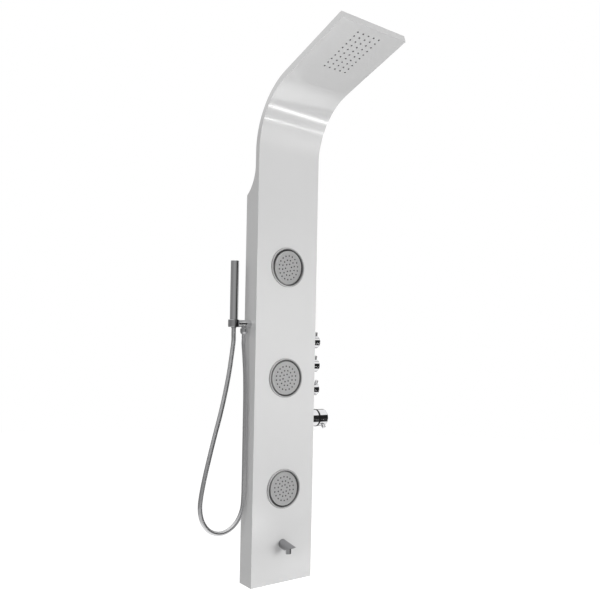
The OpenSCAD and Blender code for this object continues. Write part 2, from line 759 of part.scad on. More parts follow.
module cradle_insert() color(plastic) at_handset() difference() {
    rod(cradle_bore_r, holder_z - bar_r, holder_z + bar_r);
    rotate_extrude() polygon([
        [0, holder_z - bar_r - over], [cone_r_at(holder_z - bar_r - over) + seat_gap,
            holder_z - bar_r - over],
        [cone_r_at(holder_z + bar_r + over) + seat_gap, holder_z + bar_r + over],
        [0, holder_z + bar_r + over]]);
    cradle_slot(cradle_r + over);
}
module shank_lock_nuts() color(brass) {
    on_left(handset_u, holder_z)
        hex_nut(shank_nut_r, shank_r + slip_gap, wall_in_x - nut_t, wall_in_x);
    on_front(0, spout_z) hex_nut(shank_nut_r, shank_r + slip_gap, skin_back_u - nut_t, skin_back_u);
}

union_r = 11;
union_end_in = 26.5;
union_end_x = side_x - union_end_in;
union_tail_in = 16.5;
union_tail_x = union_tail_in - side_x;
union_tail_drop = 25;
union_tail_z = holder_z - union_tail_drop;
module outlet_union() color(brass) difference() {
    union() {
        on_left(handset_u, holder_z) rod(union_r, union_end_x, wall_in_x - nut_t);
        translate([union_tail_x, -handset_u, union_tail_z])
            cylinder(r = feed_hose_r, h = holder_z - union_tail_z);
    }
    on_left(handset_u, holder_z) rod(shank_r, side_x - shank_in, wall_in_x);
}
module outlet_hose_nut() color(chrome) translate([outlet_x, -handset_u, holder_z])
    difference() {
        rotate_extrude() polygon([[0, -hose_nut_low], [hose_nut_waist_r, -hose_nut_low],
            [hose_nut_r, -hose_nut_low + hose_nut_lip], [hose_nut_r, -hose_nut_top - over],
            [hose_nut_r - over, -hose_nut_top], [0, -hose_nut_top]]);
        rod(outlet_neck_r, -outlet_neck_low, 0);
        rod(hose_bore_r, -hose_nut_low - over, 0);
    }
// Hose: one ribbed tube swept along a route that hangs from the cone nut to the outlet
hose_top_z = cone_low_z;
hose_end_z = holder_z - hose_nut_low;
hose_route = [
    [-154, 28, 716], [-154, 28, 698], [-154, 28, 680], [-159, 28, 640], [-167, 29, 590],
    [-178, 29, 535], [-192, 30, 479], [-207, 30, 425], [-222, 31, 370], [-236, 31, 313],
    [-246, 31, 262], [-248, 31, 228], [-240, 31, 196], [-220, 31, 170], [-191, 31, 158],
    [-161, 30, 162], [-135, 30, 181], [-118, 30, 213], [-113, 29, 255], [-112, 29, 318],
    [-112, 28, 407], [-112, 28, 493], [-114, 28, 582], [-118, 28, 640], [-121, 28, 672],
    [-121, 28, 687], [-121, 28, 701]];
route_last = len(hose_route) - 1;
function route_pt(i) = let (p = i < 0 ? 2 * hose_route[0] - hose_route[1] :
    i > route_last ? 2 * hose_route[route_last] - hose_route[route_last - 1] : hose_route[i])
    [p.x, -p.y, p.z];
function spline(t) = let (i = min(floor(t), route_last - 1), f = t - i, a = route_pt(i - 1),
    b = route_pt(i), c = route_pt(i + 1), d = route_pt(i + 2))
    (2 * b + (c - a) * f + (2 * a - 5 * b + 4 * c - d) * pow(f, 2)
        + (3 * b - a - 3 * c + d) * pow(f, 3)) / 2;
steps_per_span = 10;
function length_table(i, sum, rows) = i > route_last * steps_per_span ? rows :
    let (t = i / steps_per_span, s = i == 0 ? 0 : sum + norm(spline(t) - spline(t - 1 / steps_per_span)))
    length_table(i + 1, s, concat(rows, [[s, t]]));
route_table = length_table(0, 0, []);
hose_len = route_table[len(route_table) - 1][0];
hose_sides = 8;
rib_deep = 0.9;
bore_every = 2;
function heading(t) = unit(spline(min(t + 0.01, route_last)) - spline(max(t - 0.01, 0)));
function hoop(s, r) = let (t = lookup(s, route_table), p = spline(t), d = heading(t),
    across = unit(cross(d, [0, 1, 0])), fore = cross(across, d))
    [for (k = [0:hose_sides - 1]) let (a = 360 * k / hose_sides)
        p + r * (cos(a) * fore + sin(a) * across)];
module shower_hose() color(chrome) {
    last = 2 * hose_ribs;
    outer = [for (i = [0:last]) hoop(i * hose_len / last, i % 2 == 0 ? hose_r - rib_deep : hose_r)];
    bores = hose_ribs / bore_every;
    inner = [for (i = [0:bores]) hoop(i * hose_len / bores, hose_bore_r)];
    n = hose_sides;
    base = (last + 1) * n;
    points = concat([for (h = outer) each h], [for (h = inner) each h]);
    faces = concat(
        [for (i = [0:last - 1], k = [0:n - 1]) let (a = i * n + k, b = i * n + (k + 1) % n)
            each [[a, b, b + n], [a, b + n, a + n]]],
        [for (i = [0:bores - 1], k = [0:n - 1])
            let (a = base + i * n + k, b = base + i * n + (k + 1) % n)
            each [[a, b + n, b], [a, a + n, b + n]]],
        [for (k = [0:n - 1]) let (a = k, b = (k + 1) % n)
            each [[a, base + b, b], [a, base + a, base + b]]],
        [for (k = [0:n - 1]) let (a = last * n + k, b = last * n + (k + 1) % n,
            c = base + bores * n + k, d = base + bores * n + (k + 1) % n)
            each [[a, b, d], [a, d, c]]]);
    polyhedron(points = points, faces = faces);
}

// Handset
shank_thread_r = 6.5;
shank_thread_len = 12;
handset_z0 = cone_top_z + run_gap;
handset_z1 = handset_z0 + handset_len;
handset_bore_r = 9.2;
handset_base = 6;
cap_h = 3;
cap_plug_r = 9;
cap_plug_h = 6;
face_low = 42;
face_len = 92;
face_w = 15;
face_deep = 3.5;
spray_rows = 12;
spray_cols = 3;
spray_pitch_z = 7;
spray_pitch_x = 4.5;
spray_r = 0.6;
spray_first = 7.5;
module cone_nut() color(chrome) at_handset() difference() {
    rotate_extrude() polygon([[0, cone_low_z], [cone_low_r, cone_low_z],
        [handset_r, cone_top_z], [0, cone_top_z]]);
    rod(shank_thread_r + run_gap, cone_top_z - shank_thread_len - over, cone_top_z + over);
    rod(hose_bore_r, cone_low_z - over, cone_top_z);
}
module face_window(gap) translate([-face_w / 2 + gap, handset_r - face_deep,
    handset_z0 + face_low + gap]) cube([face_w - 2 * gap, face_deep + over, face_len - 2 * gap]);
module handset_body() color(chrome) at_handset() difference() {
    union() {
        rod(handset_r, handset_z0, handset_z1 - cap_h);
        rod(shank_thread_r, cone_top_z - shank_thread_len, handset_z0 + handset_base / 2);
    }
    rod(handset_bore_r, handset_z0 + handset_base, handset_z1);
    rod(hose_bore_r, cone_top_z - shank_thread_len - over, handset_z0 + handset_base + over);
    face_window(0);
}
module handset_face() color(plastic) at_handset() difference() {
    intersection() {
        rod(handset_r, handset_z0, handset_z1);
        face_window(run_gap);
    }
    for (j = [0:spray_rows - 1], i = [0:spray_cols - 1])
        translate([(i - (spray_cols - 1) / 2) * spray_pitch_x, 0,
            handset_z0 + face_low + spray_first + j * spray_pitch_z])
            rotate([-90, 0, 0]) rod(spray_r, handset_r - face_deep - over, handset_r + over);
}
module handset_cap() color(chrome) at_handset() {
    turned(handset_r, handset_z1 - cap_h, handset_z1, cap_h / 2);
    rod(cap_plug_r, handset_z1 - cap_h - cap_plug_h, handset_z1 - cap_h / 2);
}

// Spout
spout_cut_u = 18;
spout_bore_r = 10.6;
spout_bore_back = 22;
aerator_u = 29;
aerator_r = 9;
aerator_bore_r = 7;
aerator_low = 21;
spout_shank_in = 30;
spout_slope = atan(2 * spout_r / (spout_len - spout_cut_u));
spout_turn_up = 105;
spout_join_up = 65;
module at_spout() translate([0, -panel_d, spout_z]) rotate([90 + spout_tilt, 0, 0]) children();
module at_aerator() translate([0, -panel_d - aerator_u, spout_z]) children();
// The underside is cut away obliquely, so that the top reaches out as a visor
module spout_tube() color(chrome) difference() {
    union() {
        difference() {
            at_spout() rod(spout_r, -spout_r, spout_len);
            slab(4 * spout_r, 0, panel_d, spout_z - 2 * spout_r, spout_z + 2 * spout_r);
            at_spout() rod(spout_bore_r, spout_bore_back, spout_len + over);
            at_spout() translate([-2 * spout_r, -spout_r, spout_cut_u])
                rotate([-spout_slope, 0, 0]) translate([0, -spout_len, 0])
                cube([4 * spout_r, spout_len, 2 * spout_len]);
        }
        on_front(0, spout_z) rod(shank_r, panel_d - spout_shank_in, panel_d + spout_r);
    }
    at_aerator() rod(aerator_r + run_gap, -aerator_low * 2, 0);
}
module spout_aerator() color(chrome) at_aerator() difference() {
    rod(aerator_r, -aerator_low, 0);
    rod(aerator_bore_r, -aerator_low - over, -over);
}
elbow_r = 10;
elbow_top = 32;
elbow_back_u = 12;
module spout_elbow() color(brass) difference() {
    union() {
        on_front(0, spout_z) rod(elbow_r, elbow_back_u, skin_back_u - nut_t);
        translate([0, -spout_port_u, spout_z]) cylinder(r = feed_hose_r, h = elbow_top);
    }
    on_front(0, spout_z) rod(shank_r, panel_d - spout_shank_in, panel_d);
}
spout_run_x = (boss_r + mixer_x0) / 2;
spout_turn_z = spout_z + spout_turn_up;
spout_join_z = spout_z + spout_join_up;
module feed_hoses() color(plastic) {
    pipe([[union_tail_x, -handset_u, union_tail_z], [union_tail_x, -handset_u, handset_port_z],
        [handset_shift_x, -handset_port_u, handset_port_z],
        [manifold_x - port_len, -handset_port_u, handset_port_z]], feed_hose_r, hose_corner_r / 2);
    pipe([[manifold_x - port_len, -spout_port_u, spout_port_z],
        [spout_run_x, -spout_port_u, spout_port_z], [spout_run_x, -spout_port_u, spout_turn_z],
        [0, -spout_port_u, spout_join_z], [0, -spout_port_u, spout_z + elbow_top]],
        feed_hose_r, hose_corner_r / 2);
}

front_shell();
head_cover();
cover_screws();
wall_brackets();
hanger_straps();
rain_chamber();
rain_nozzle_mat();
head_hose();
jet_bezels();
jet_gaskets();
jet_housings();
jet_ball_stems();
jet_hoses();
jet_ring(top_jet_z, top_aim);  // top_jet_ring
jet_socket(top_jet_z, top_aim);  // top_jet_socket
jet_disc(top_jet_z, top_aim);  // top_jet_disc
jet_nozzles(top_jet_z, top_aim);  // top_jet_nozzles
jet_ring(middle_jet_z, middle_aim);  // middle_jet_ring
jet_socket(middle_jet_z, middle_aim);  // middle_jet_socket
jet_disc(middle_jet_z, middle_aim);  // middle_jet_disc
jet_nozzles(middle_jet_z, middle_aim);  // middle_jet_nozzles
jet_ring(bottom_jet_z, bottom_aim);  // bottom_jet_ring
jet_socket(bottom_jet_z, bottom_aim);  // bottom_jet_socket
jet_disc(bottom_jet_z, bottom_aim);  // bottom_jet_disc
jet_nozzles(bottom_jet_z, bottom_aim);  // bottom_jet_nozzles
diverter_manifold();
diverter_cartridges();
valve_lock_nuts();
knob(0);  // rain_knob
knob_pin(0);  // rain_knob_pin
knob_stem(0);  // rain_knob_stem
knob(1);  // jets_knob
knob_pin(1);  // jets_knob_pin
knob_stem(1);  // jets_knob_stem
knob(2);  // outlet_knob
knob_pin(2);  // outlet_knob_pin
knob_stem(2);  // outlet_knob_stem
mixer_body();
mixer_cartridge();
mixer_sleeve();
mixer_seal_ring();
mixer_lock_nut();
link_pipe();
mixer_handle();
mixer_lever();
mixer_stem();
handset_holder();
cradle_insert();
shank_lock_nuts();
outlet_union();
outlet_hose_nut();
shower_hose();
cone_nut();
handset_body();
handset_face();
handset_cap();
spout_tube();
spout_aerator();
spout_elbow();
feed_hoses();
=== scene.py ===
"""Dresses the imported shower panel: its finishes, its hose and the small parts on it."""

from __future__ import annotations

import json
import logging
import math
from bisect import bisect_right
from dataclasses import dataclass, field
from enum import Enum

import bmesh
import bpy
from mathutils import Matrix, Vector
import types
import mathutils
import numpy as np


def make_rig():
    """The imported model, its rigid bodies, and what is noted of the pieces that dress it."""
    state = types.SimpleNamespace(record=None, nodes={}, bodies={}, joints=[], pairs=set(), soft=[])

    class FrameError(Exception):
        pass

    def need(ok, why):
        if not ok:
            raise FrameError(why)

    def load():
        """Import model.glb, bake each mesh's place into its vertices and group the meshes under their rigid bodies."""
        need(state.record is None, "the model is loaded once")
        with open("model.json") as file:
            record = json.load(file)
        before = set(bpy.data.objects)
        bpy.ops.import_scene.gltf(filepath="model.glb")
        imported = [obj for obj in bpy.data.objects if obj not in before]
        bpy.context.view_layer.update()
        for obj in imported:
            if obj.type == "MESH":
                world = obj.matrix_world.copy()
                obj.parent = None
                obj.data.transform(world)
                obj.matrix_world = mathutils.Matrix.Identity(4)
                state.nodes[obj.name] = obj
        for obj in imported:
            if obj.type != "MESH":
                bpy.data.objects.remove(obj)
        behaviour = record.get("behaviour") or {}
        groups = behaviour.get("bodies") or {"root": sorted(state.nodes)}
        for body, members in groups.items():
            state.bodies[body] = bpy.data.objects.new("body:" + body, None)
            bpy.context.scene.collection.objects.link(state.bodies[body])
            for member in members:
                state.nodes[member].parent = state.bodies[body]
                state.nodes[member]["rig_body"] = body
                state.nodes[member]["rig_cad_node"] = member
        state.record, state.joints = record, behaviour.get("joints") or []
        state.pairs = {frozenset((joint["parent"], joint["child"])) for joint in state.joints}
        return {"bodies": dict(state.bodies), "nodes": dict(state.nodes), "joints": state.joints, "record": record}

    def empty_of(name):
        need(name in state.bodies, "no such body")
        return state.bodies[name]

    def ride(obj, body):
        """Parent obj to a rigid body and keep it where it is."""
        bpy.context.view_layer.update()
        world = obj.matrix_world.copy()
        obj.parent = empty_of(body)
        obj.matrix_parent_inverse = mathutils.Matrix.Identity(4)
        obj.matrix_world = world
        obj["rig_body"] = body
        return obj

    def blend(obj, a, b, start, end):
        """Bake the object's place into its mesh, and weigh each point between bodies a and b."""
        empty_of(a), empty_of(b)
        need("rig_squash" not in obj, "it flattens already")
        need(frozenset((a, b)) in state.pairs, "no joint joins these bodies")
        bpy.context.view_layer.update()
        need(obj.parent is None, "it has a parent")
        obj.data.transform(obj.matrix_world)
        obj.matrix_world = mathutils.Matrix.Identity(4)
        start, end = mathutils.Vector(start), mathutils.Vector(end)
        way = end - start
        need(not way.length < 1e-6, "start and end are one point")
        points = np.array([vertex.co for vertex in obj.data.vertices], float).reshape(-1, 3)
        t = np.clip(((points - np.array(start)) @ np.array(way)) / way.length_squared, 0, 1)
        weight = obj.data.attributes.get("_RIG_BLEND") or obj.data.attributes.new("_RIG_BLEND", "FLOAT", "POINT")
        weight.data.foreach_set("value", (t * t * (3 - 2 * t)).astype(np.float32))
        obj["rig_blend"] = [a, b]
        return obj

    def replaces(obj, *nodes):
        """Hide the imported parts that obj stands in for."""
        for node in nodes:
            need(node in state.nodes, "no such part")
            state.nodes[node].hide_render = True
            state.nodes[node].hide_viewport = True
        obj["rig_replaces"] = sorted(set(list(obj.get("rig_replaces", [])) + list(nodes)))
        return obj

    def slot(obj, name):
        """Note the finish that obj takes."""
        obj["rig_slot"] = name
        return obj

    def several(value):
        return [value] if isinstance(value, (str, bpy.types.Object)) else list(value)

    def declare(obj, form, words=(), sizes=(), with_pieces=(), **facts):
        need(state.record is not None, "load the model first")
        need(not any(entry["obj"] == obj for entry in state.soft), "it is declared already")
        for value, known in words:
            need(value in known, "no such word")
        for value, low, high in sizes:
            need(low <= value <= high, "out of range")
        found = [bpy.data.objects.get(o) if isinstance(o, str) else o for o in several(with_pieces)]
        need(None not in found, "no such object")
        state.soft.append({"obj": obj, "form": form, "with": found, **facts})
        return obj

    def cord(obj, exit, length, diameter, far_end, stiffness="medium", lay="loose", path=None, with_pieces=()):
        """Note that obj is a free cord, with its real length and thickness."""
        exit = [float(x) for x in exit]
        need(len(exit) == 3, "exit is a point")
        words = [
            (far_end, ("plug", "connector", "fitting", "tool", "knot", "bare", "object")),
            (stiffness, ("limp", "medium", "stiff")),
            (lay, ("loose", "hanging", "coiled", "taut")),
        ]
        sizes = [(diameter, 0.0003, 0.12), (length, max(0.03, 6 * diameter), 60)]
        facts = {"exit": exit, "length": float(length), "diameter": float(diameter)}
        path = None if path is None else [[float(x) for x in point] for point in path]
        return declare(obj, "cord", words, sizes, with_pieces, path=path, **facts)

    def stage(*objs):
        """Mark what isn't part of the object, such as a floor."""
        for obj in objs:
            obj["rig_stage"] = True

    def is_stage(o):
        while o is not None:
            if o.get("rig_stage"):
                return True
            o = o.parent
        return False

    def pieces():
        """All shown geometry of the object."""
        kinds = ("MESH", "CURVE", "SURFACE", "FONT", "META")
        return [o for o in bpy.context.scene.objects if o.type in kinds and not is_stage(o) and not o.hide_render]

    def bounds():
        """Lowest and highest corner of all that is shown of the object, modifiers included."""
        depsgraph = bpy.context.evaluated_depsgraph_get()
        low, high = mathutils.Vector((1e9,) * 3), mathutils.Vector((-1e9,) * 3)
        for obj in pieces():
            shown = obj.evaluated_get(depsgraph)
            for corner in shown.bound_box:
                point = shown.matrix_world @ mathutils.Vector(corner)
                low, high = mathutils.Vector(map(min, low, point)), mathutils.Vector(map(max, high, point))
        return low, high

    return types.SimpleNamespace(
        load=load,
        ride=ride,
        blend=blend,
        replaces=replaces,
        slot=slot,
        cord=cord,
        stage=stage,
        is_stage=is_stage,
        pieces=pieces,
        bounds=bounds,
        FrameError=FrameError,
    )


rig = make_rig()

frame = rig.load()
CAD_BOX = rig.bounds()
LOG = logging.getLogger("shower_panel")
MM = 0.001
FINE_STEPS = 96
SEAM_GAP = 0.005 * MM
UP = Vector((0.0, 0.0, 1.0))
WHITE = (1.0, 1.0, 1.0, 1.0)
MIX_NUMBERS = (2, 3)
MIX_COLOURS = (6, 7)
MIXED_NUMBER = 0
MIXED_COLOUR = 2

Spot = tuple[float, float]
Point = tuple[float, float, float]
Colour = tuple[float, float, float]
Profile = tuple[tuple[float, float], ...]
Socket = bpy.types.NodeSocket


class Wiring:
    """A small hand for wiring the nodes of one material or of the world."""

    def __init__(self, tree: bpy.types.NodeTree) -> None:
        """Takes the tree that is wired."""
        self.tree = tree

    def new(self, kind: str) -> bpy.types.Node:
        """Adds a node of that kind."""
        return self.tree.nodes.new("ShaderNode" + kind)

    def link(self, start: Socket, end: Socket) -> None:
        """Joins two sockets."""
        self.tree.links.new(start, end)

    def feed(self, end: Socket, value: Socket | float | tuple[float, ...]) -> None:
        """Sets a socket, or joins it to the socket that gives its value.

        Args:
            end: The socket that takes the value.
            value: The number or colour, or the socket that gives it.
        """
        if isinstance(value, Socket):
            self.link(value, end)
        else:
            end.default_value = value

    def reckon(self, operation: str, *values: Socket | float) -> Socket:
        """Works out one number from others.

        Args:
            operation: The name that the Math node has for it.
            values: The numbers or sockets that go in, in order.

        Returns:
            The socket that gives the answer.
        """
        node = self.new("Math")
        node.operation = operation
        for end, value in zip(node.inputs, values):
            self.feed(end, value)
        return node.outputs[0]

    def span(
        self,
        value: Socket,
        low: float,
        high: float,
        limits: tuple[float, float] = (0.0, 1.0),
        eased: bool = False,
    ) -> Socket:
        """Maps a value between two limits onto low to high.

        Args:
            value: The socket that gives the value.
            low: What the lower limit becomes.
            high: What the upper limit becomes.
            limits: The limits of the value.
            eased: Whether the change starts and ends gently.

        Returns:
            The mapped socket.
        """
        node = self.new("MapRange")
        if eased:
            node.interpolation_type = "SMOOTHSTEP"
        node.inputs["From Min"].default_value = limits[0]
        node.inputs["From Max"].default_value = limits[1]
        node.inputs["To Min"].default_value = low
        node.inputs["To Max"].default_value = high
        self.link(value, node.inputs["Value"])
        return node.outputs["Result"]

    def glow(
        self,
        strength: Socket | float = 1.0,
        colour: Socket | tuple[float, ...] = WHITE,
    ) -> Socket:
        """Adds a glow.

        Args:
            strength: How bright it is, where 1 is as bright as its colour says.
            colour: Its colour.

        Returns:
            The glowing shader.
        """
        node = self.new("Emission")
        self.feed(node.inputs["Strength"], strength)
        self.feed(node.inputs["Color"], colour)
        return node.outputs[0]

    def blend(self, share: Socket, first: Socket, second: Socket) -> Socket:
        """Blends two shaders.

        Args:
            share: The second one's share, 0 to 1.
            first: The shader at a share of 0.
            second: The shader at a share of 1.

        Returns:
            The blended shader.
        """
        node = self.new("MixShader")
        self.link(share, node.inputs["Fac"])
        self.link(first, node.inputs[1])
        self.link(second, node.inputs[2])
        return node.outputs[0]

    def show(self, surface: Socket, kind: str = "OutputMaterial") -> None:
        """Puts a shader on the output, which is of that kind."""
        self.link(surface, self.new(kind).inputs["Surface"])


def bare_material(name: str) -> tuple[bpy.types.Material, Wiring]:
    """Starts a material that has no nodes yet.

    Args:
        name: The material's name.

    Returns:
        The material and the hand that wires it.
    """
    material = bpy.data.materials.new(name)
    material.use_nodes = True
    material.node_tree.nodes.clear()
    return material, Wiring(material.node_tree)


def mesh_object(
    name: str, bm: bmesh.types.BMesh, smooth: bool = True
) -> bpy.types.Object:
    """Turns a bmesh into a linked object at the origin.

    Args:
        name: The object's name.
        bm: The mesh being built, which is freed.
        smooth: Whether its faces are shaded smooth.

    Returns:
        The new object.
    """
    mesh = bpy.data.meshes.new(name)
    bm.to_mesh(mesh)
    bm.free()
    if smooth:
        mesh.shade_smooth()
    else:
        mesh.shade_flat()
    thing = bpy.data.objects.new(name, mesh)
    bpy.context.scene.collection.objects.link(thing)
    return thing


def lathe(
    bm: bmesh.types.BMesh, profile: Profile, place: Matrix, steps: int = FINE_STEPS
) -> None:
    """Turns a profile round its own axis and puts the turned shape in place.

    Args:
        bm: The mesh that takes the shape.
        profile: Points as radius and height; one on the axis closes the shape there.
        place: Where the shape's axis, Z, goes.
        steps: The number of facets round the axis.
    """
    verts = [bm.verts.new((radius, 0.0, height)) for radius, height in profile]
    edges = [bm.edges.new(pair) for pair in zip(verts, verts[1:])]
    bmesh.ops.spin(
        bm,
        geom=verts + edges,
        cent=(0.0, 0.0, 0.0),
        axis=UP,
        dvec=(0.0, 0.0, 0.0),
        angle=math.tau,
        steps=steps,
        use_merge=True,
        use_duplicate=False,
    )
    turned = [vert for vert in bm.verts if not vert.tag]
    bmesh.ops.transform(bm, matrix=place, verts=turned)
    for vert in turned:
        vert.tag = True


def turned_object(
    name: str, bm: bmesh.types.BMesh, smooth: bool = True
) -> bpy.types.Object:
    """Closes the seams of turned shapes, turns their faces outwards and links them.

    Args:
        name: The object's name.
        bm: The mesh that holds the turned shapes, which is freed.
        smooth: Whether its faces are shaded smooth.

    Returns:
        The new object.
    """
    bmesh.ops.remove_doubles(bm, verts=bm.verts, dist=SEAM_GAP)
    bmesh.ops.recalc_face_normals(bm, faces=bm.faces)
    return mesh_object(name, bm, smooth)


def laid_over(place: Point, axis: str) -> Matrix:
    """Finds the place of a turned shape that is laid over by a quarter turn.

    Args:
        place: Where its foot is, in millimetres as its sizes are.
        axis: X or Y, about which it is laid over.

    Returns:
        The place, in metres.
    """
    quarter = Matrix.Rotation(math.pi / 2.0, 4, axis)
    return Matrix.Scale(MM, 4) @ Matrix.Translation(place) @ quarter


@dataclass(frozen=True)
class PhotoCamera:
    """The camera where the photograph was taken from; its angles are in radians."""

    place: Point = (-1.0917, -1.6240, 0.6527)
    yaw: float = 0.6301
    pitch: float = -0.0023
    roll: float = 0.0198
    lens_px: float = 672.87
    frame_px: float = 600.0
    axis_drop_px: float = 54.0
    sensor_mm: float = 36.0
    nearest: float = 0.02

    def turn(self) -> Matrix:
        """Works out the camera's turn from its three angles.

        Returns:
            The turn, with the camera looking along its own -Z.
        """
        level = Vector((math.cos(self.yaw), -math.sin(self.yaw), 0.0))
        ahead = Vector((math.sin(self.yaw), math.cos(self.yaw), 0.0))
        forward = ahead * math.cos(self.pitch) + UP * math.sin(self.pitch)
        upright = level.cross(forward)
        right = level * math.cos(self.roll) + upright * math.sin(self.roll)
        up = upright * math.cos(self.roll) - level * math.sin(self.roll)
        return Matrix((right, up, -forward)).transposed()

    def set_up(self) -> None:
        """Makes the camera and gives it to the scene."""
        data = bpy.data.cameras.new("photo_camera")
        data.sensor_width = self.sensor_mm
        data.lens = self.sensor_mm * self.lens_px / self.frame_px
        data.shift_y = self.axis_drop_px / self.frame_px
        data.clip_start = self.nearest
        camera = bpy.data.objects.new("photo_camera", data)
        camera.matrix_world = Matrix.Translation(self.place) @ self.turn().to_4x4()
        bpy.context.scene.collection.objects.link(camera)
        bpy.context.scene.camera = camera


@dataclass(frozen=True)
class Lamp:
    """A soft rectangular lamp, which metal doesn't mirror."""

    name: str
    place: Point
    size: tuple[float, float]
    watts: float

    def hang(self, aim: Point) -> None:
        """Hangs the lamp in its place.

        Args:
            aim: The point that it is turned to.
        """
        data = bpy.data.lights.new(self.name, "AREA")
        data.shape = "RECTANGLE"
        data.size, data.size_y = self.size
        data.energy = self.watts
        lamp = bpy.data.objects.new(self.name, data)
        lamp.location = self.place
        ray = Vector(aim) - Vector(self.place)
        lamp.rotation_euler = ray.to_track_quat("-Z", "Y").to_euler()
        lamp.visible_glossy = False
        bpy.context.scene.collection.objects.link(lamp)


def stage_for_mirrors(
    name: str, bm: bmesh.types.BMesh, material: bpy.types.Material, smooth: bool
) -> None:
    """Puts up a part of the studio that only shiny surfaces see.

    Args:
        name: Its name.
        bm: Its mesh, which is freed.
        material: Its glow.
        smooth: Whether its faces are shaded smooth.
    """
    thing = mesh_object(name, bm, smooth)
    thing.data.materials.append(material)
    thing.visible_camera = False
    thing.visible_diffuse = False
    thing.visible_shadow = False
    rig.stage(thing)


@dataclass(frozen=True)
class Card:
    """A flat card, glowing or dark, for the chrome to show."""

    name: str
    corners: tuple[Point, ...]
    strength: float

    @classmethod
    def level(
        cls, name: str, height: float, outline: tuple[Spot, ...], strength: float
    ) -> Card:
        """Plans a card that lies level.

        Args:
            name: The card's name.
            height: The height that it lies at.
            outline: Its corners as X and Y, in order round it.
            strength: How bright it is, where 1 is white.

        Returns:
            The card.
        """
        return cls(name, tuple((*spot, height) for spot in outline), strength)

    @classmethod
    def upright(
        cls,
        name: str,
        start: Spot,
        end: Spot,
        heights: tuple[float, float],
        strength: float,
    ) -> Card:
        """Plans a card that stands on edge.

        Args:
            name: The card's name.
            start: One end of its foot as X and Y.
            end: The other end.
            heights: The heights of its foot and its top.
            strength: How bright it is, where 1 is white.

        Returns:
            The card.
        """
        foot, top = heights
        corners = ((*start, foot), (*end, foot), (*end, top), (*start, top))
        return cls(name, corners, strength)

    @classmethod
    def strip(
        cls, name: str, start: Point, end: Point, width: float, strength: float
    ) -> Card:
        """Plans a long narrow card that lies level.

        Args:
            name: The strip's name.
            start: The middle of one end.
            end: The middle of the other end.
            width: Its width.
            strength: How bright it is, where 1 is white.

        Returns:
            The strip.
        """
        first, last = Vector(start), Vector(end)
        side = (last - first).cross(UP).normalized() * width / 2.0
        corners = (first - side, last - side, last + side, first + side)
        return cls(name, tuple(tuple(corner) for corner in corners), strength)

    def put_up(self) -> None:
        """Puts the card up in the studio."""
        bm = bmesh.new()
        bm.faces.new([bm.verts.new(corner) for corner in self.corners])
        material, wiring = bare_material(self.name)
        wiring.show(wiring.glow(self.strength))
        stage_for_mirrors(self.name, bm, material, smooth=False)


@dataclass(frozen=True)
class GreyBand:
    """A band of greys round the studio for the chrome, dark at the right front.

    Its greys are given by the angle round the panel in degrees, from -180 to 180.
    """

    radius: float = 4.2
    low: float = -0.95
    high: float = 2.90
    soft_edge: float = 0.33
    greys: tuple[tuple[float, float], ...] = (
        (-180.0, 0.24), (-155.0, 0.32), (-128.0, 0.34), (-100.0, 0.32),
        (-74.0, 0.18), (-54.0, 0.02), (-10.0, 0.02), (2.0, 0.10),
        (40.0, 0.16), (80.0, 0.20), (140.0, 0.28), (180.0, 0.24),
    )

    def shape(self) -> bmesh.types.BMesh:
        """Raises the band from a circle.

        Returns:
            The band's mesh.
        """
        bm = bmesh.new()
        rim = bmesh.ops.create_circle(bm, segments=FINE_STEPS, radius=self.radius)
        bmesh.ops.translate(bm, verts=rim["verts"], vec=(0.0, 0.0, self.low))
        raised = bmesh.ops.extrude_edge_only(bm, edges=bm.edges[:])["geom"]
        tops = [part for part in raised if isinstance(part, bmesh.types.BMVert)]
        bmesh.ops.translate(bm, verts=tops, vec=(0.0, 0.0, self.high - self.low))
        return bm

    def shade(self, wiring: Wiring, turn: Socket) -> Socket:
        """Gives the band its greys.

        Args:
            wiring: The band's wiring.
            turn: The socket that gives the angle round the panel, in radians.

        Returns:
            The socket that gives the grey there.
        """
        ramp = wiring.new("ValToRGB")
        stops = ramp.color_ramp.elements
        for degrees, grey in self.greys:
            place = (math.radians(degrees) + math.pi) / math.tau
            if place == 0.0:
                stop = stops[0]
            elif place == 1.0:
                stop = stops[-1]
            else:
                stop = stops.new(place)
            stop.color = (grey, grey, grey, 1.0)
        share = wiring.span(turn, 0.0, 1.0, limits=(-math.pi, math.pi))
        wiring.link(share, ramp.inputs["Fac"])
        return ramp.outputs["Color"]

    def hang(self) -> None:
        """Hangs the band, which fades out at its two edges."""
        material, wiring = bare_material("grey_band")
        split = wiring.new("SeparateXYZ")
        coords = wiring.new("TexCoord")
        wiring.link(coords.outputs["Object"], split.inputs[0])
        turn = wiring.reckon("ARCTAN2", split.outputs["Y"], split.outputs["X"])
        glow = wiring.glow(colour=self.shade(wiring, turn))
        middle = (self.high + self.low) / 2.0
        half = (self.high - self.low) / 2.0
        drop = wiring.reckon("SUBTRACT", split.outputs["Z"], middle)
        away = wiring.reckon("ABSOLUTE", drop)
        faded = wiring.span(
            away, 0.0, 1.0, limits=(half - self.soft_edge, half), eased=True
        )
        clear = wiring.new("BsdfTransparent").outputs[0]
        wiring.show(wiring.blend(faded, glow, clear))
        stage_for_mirrors("grey_band", self.shape(), material, smooth=True)


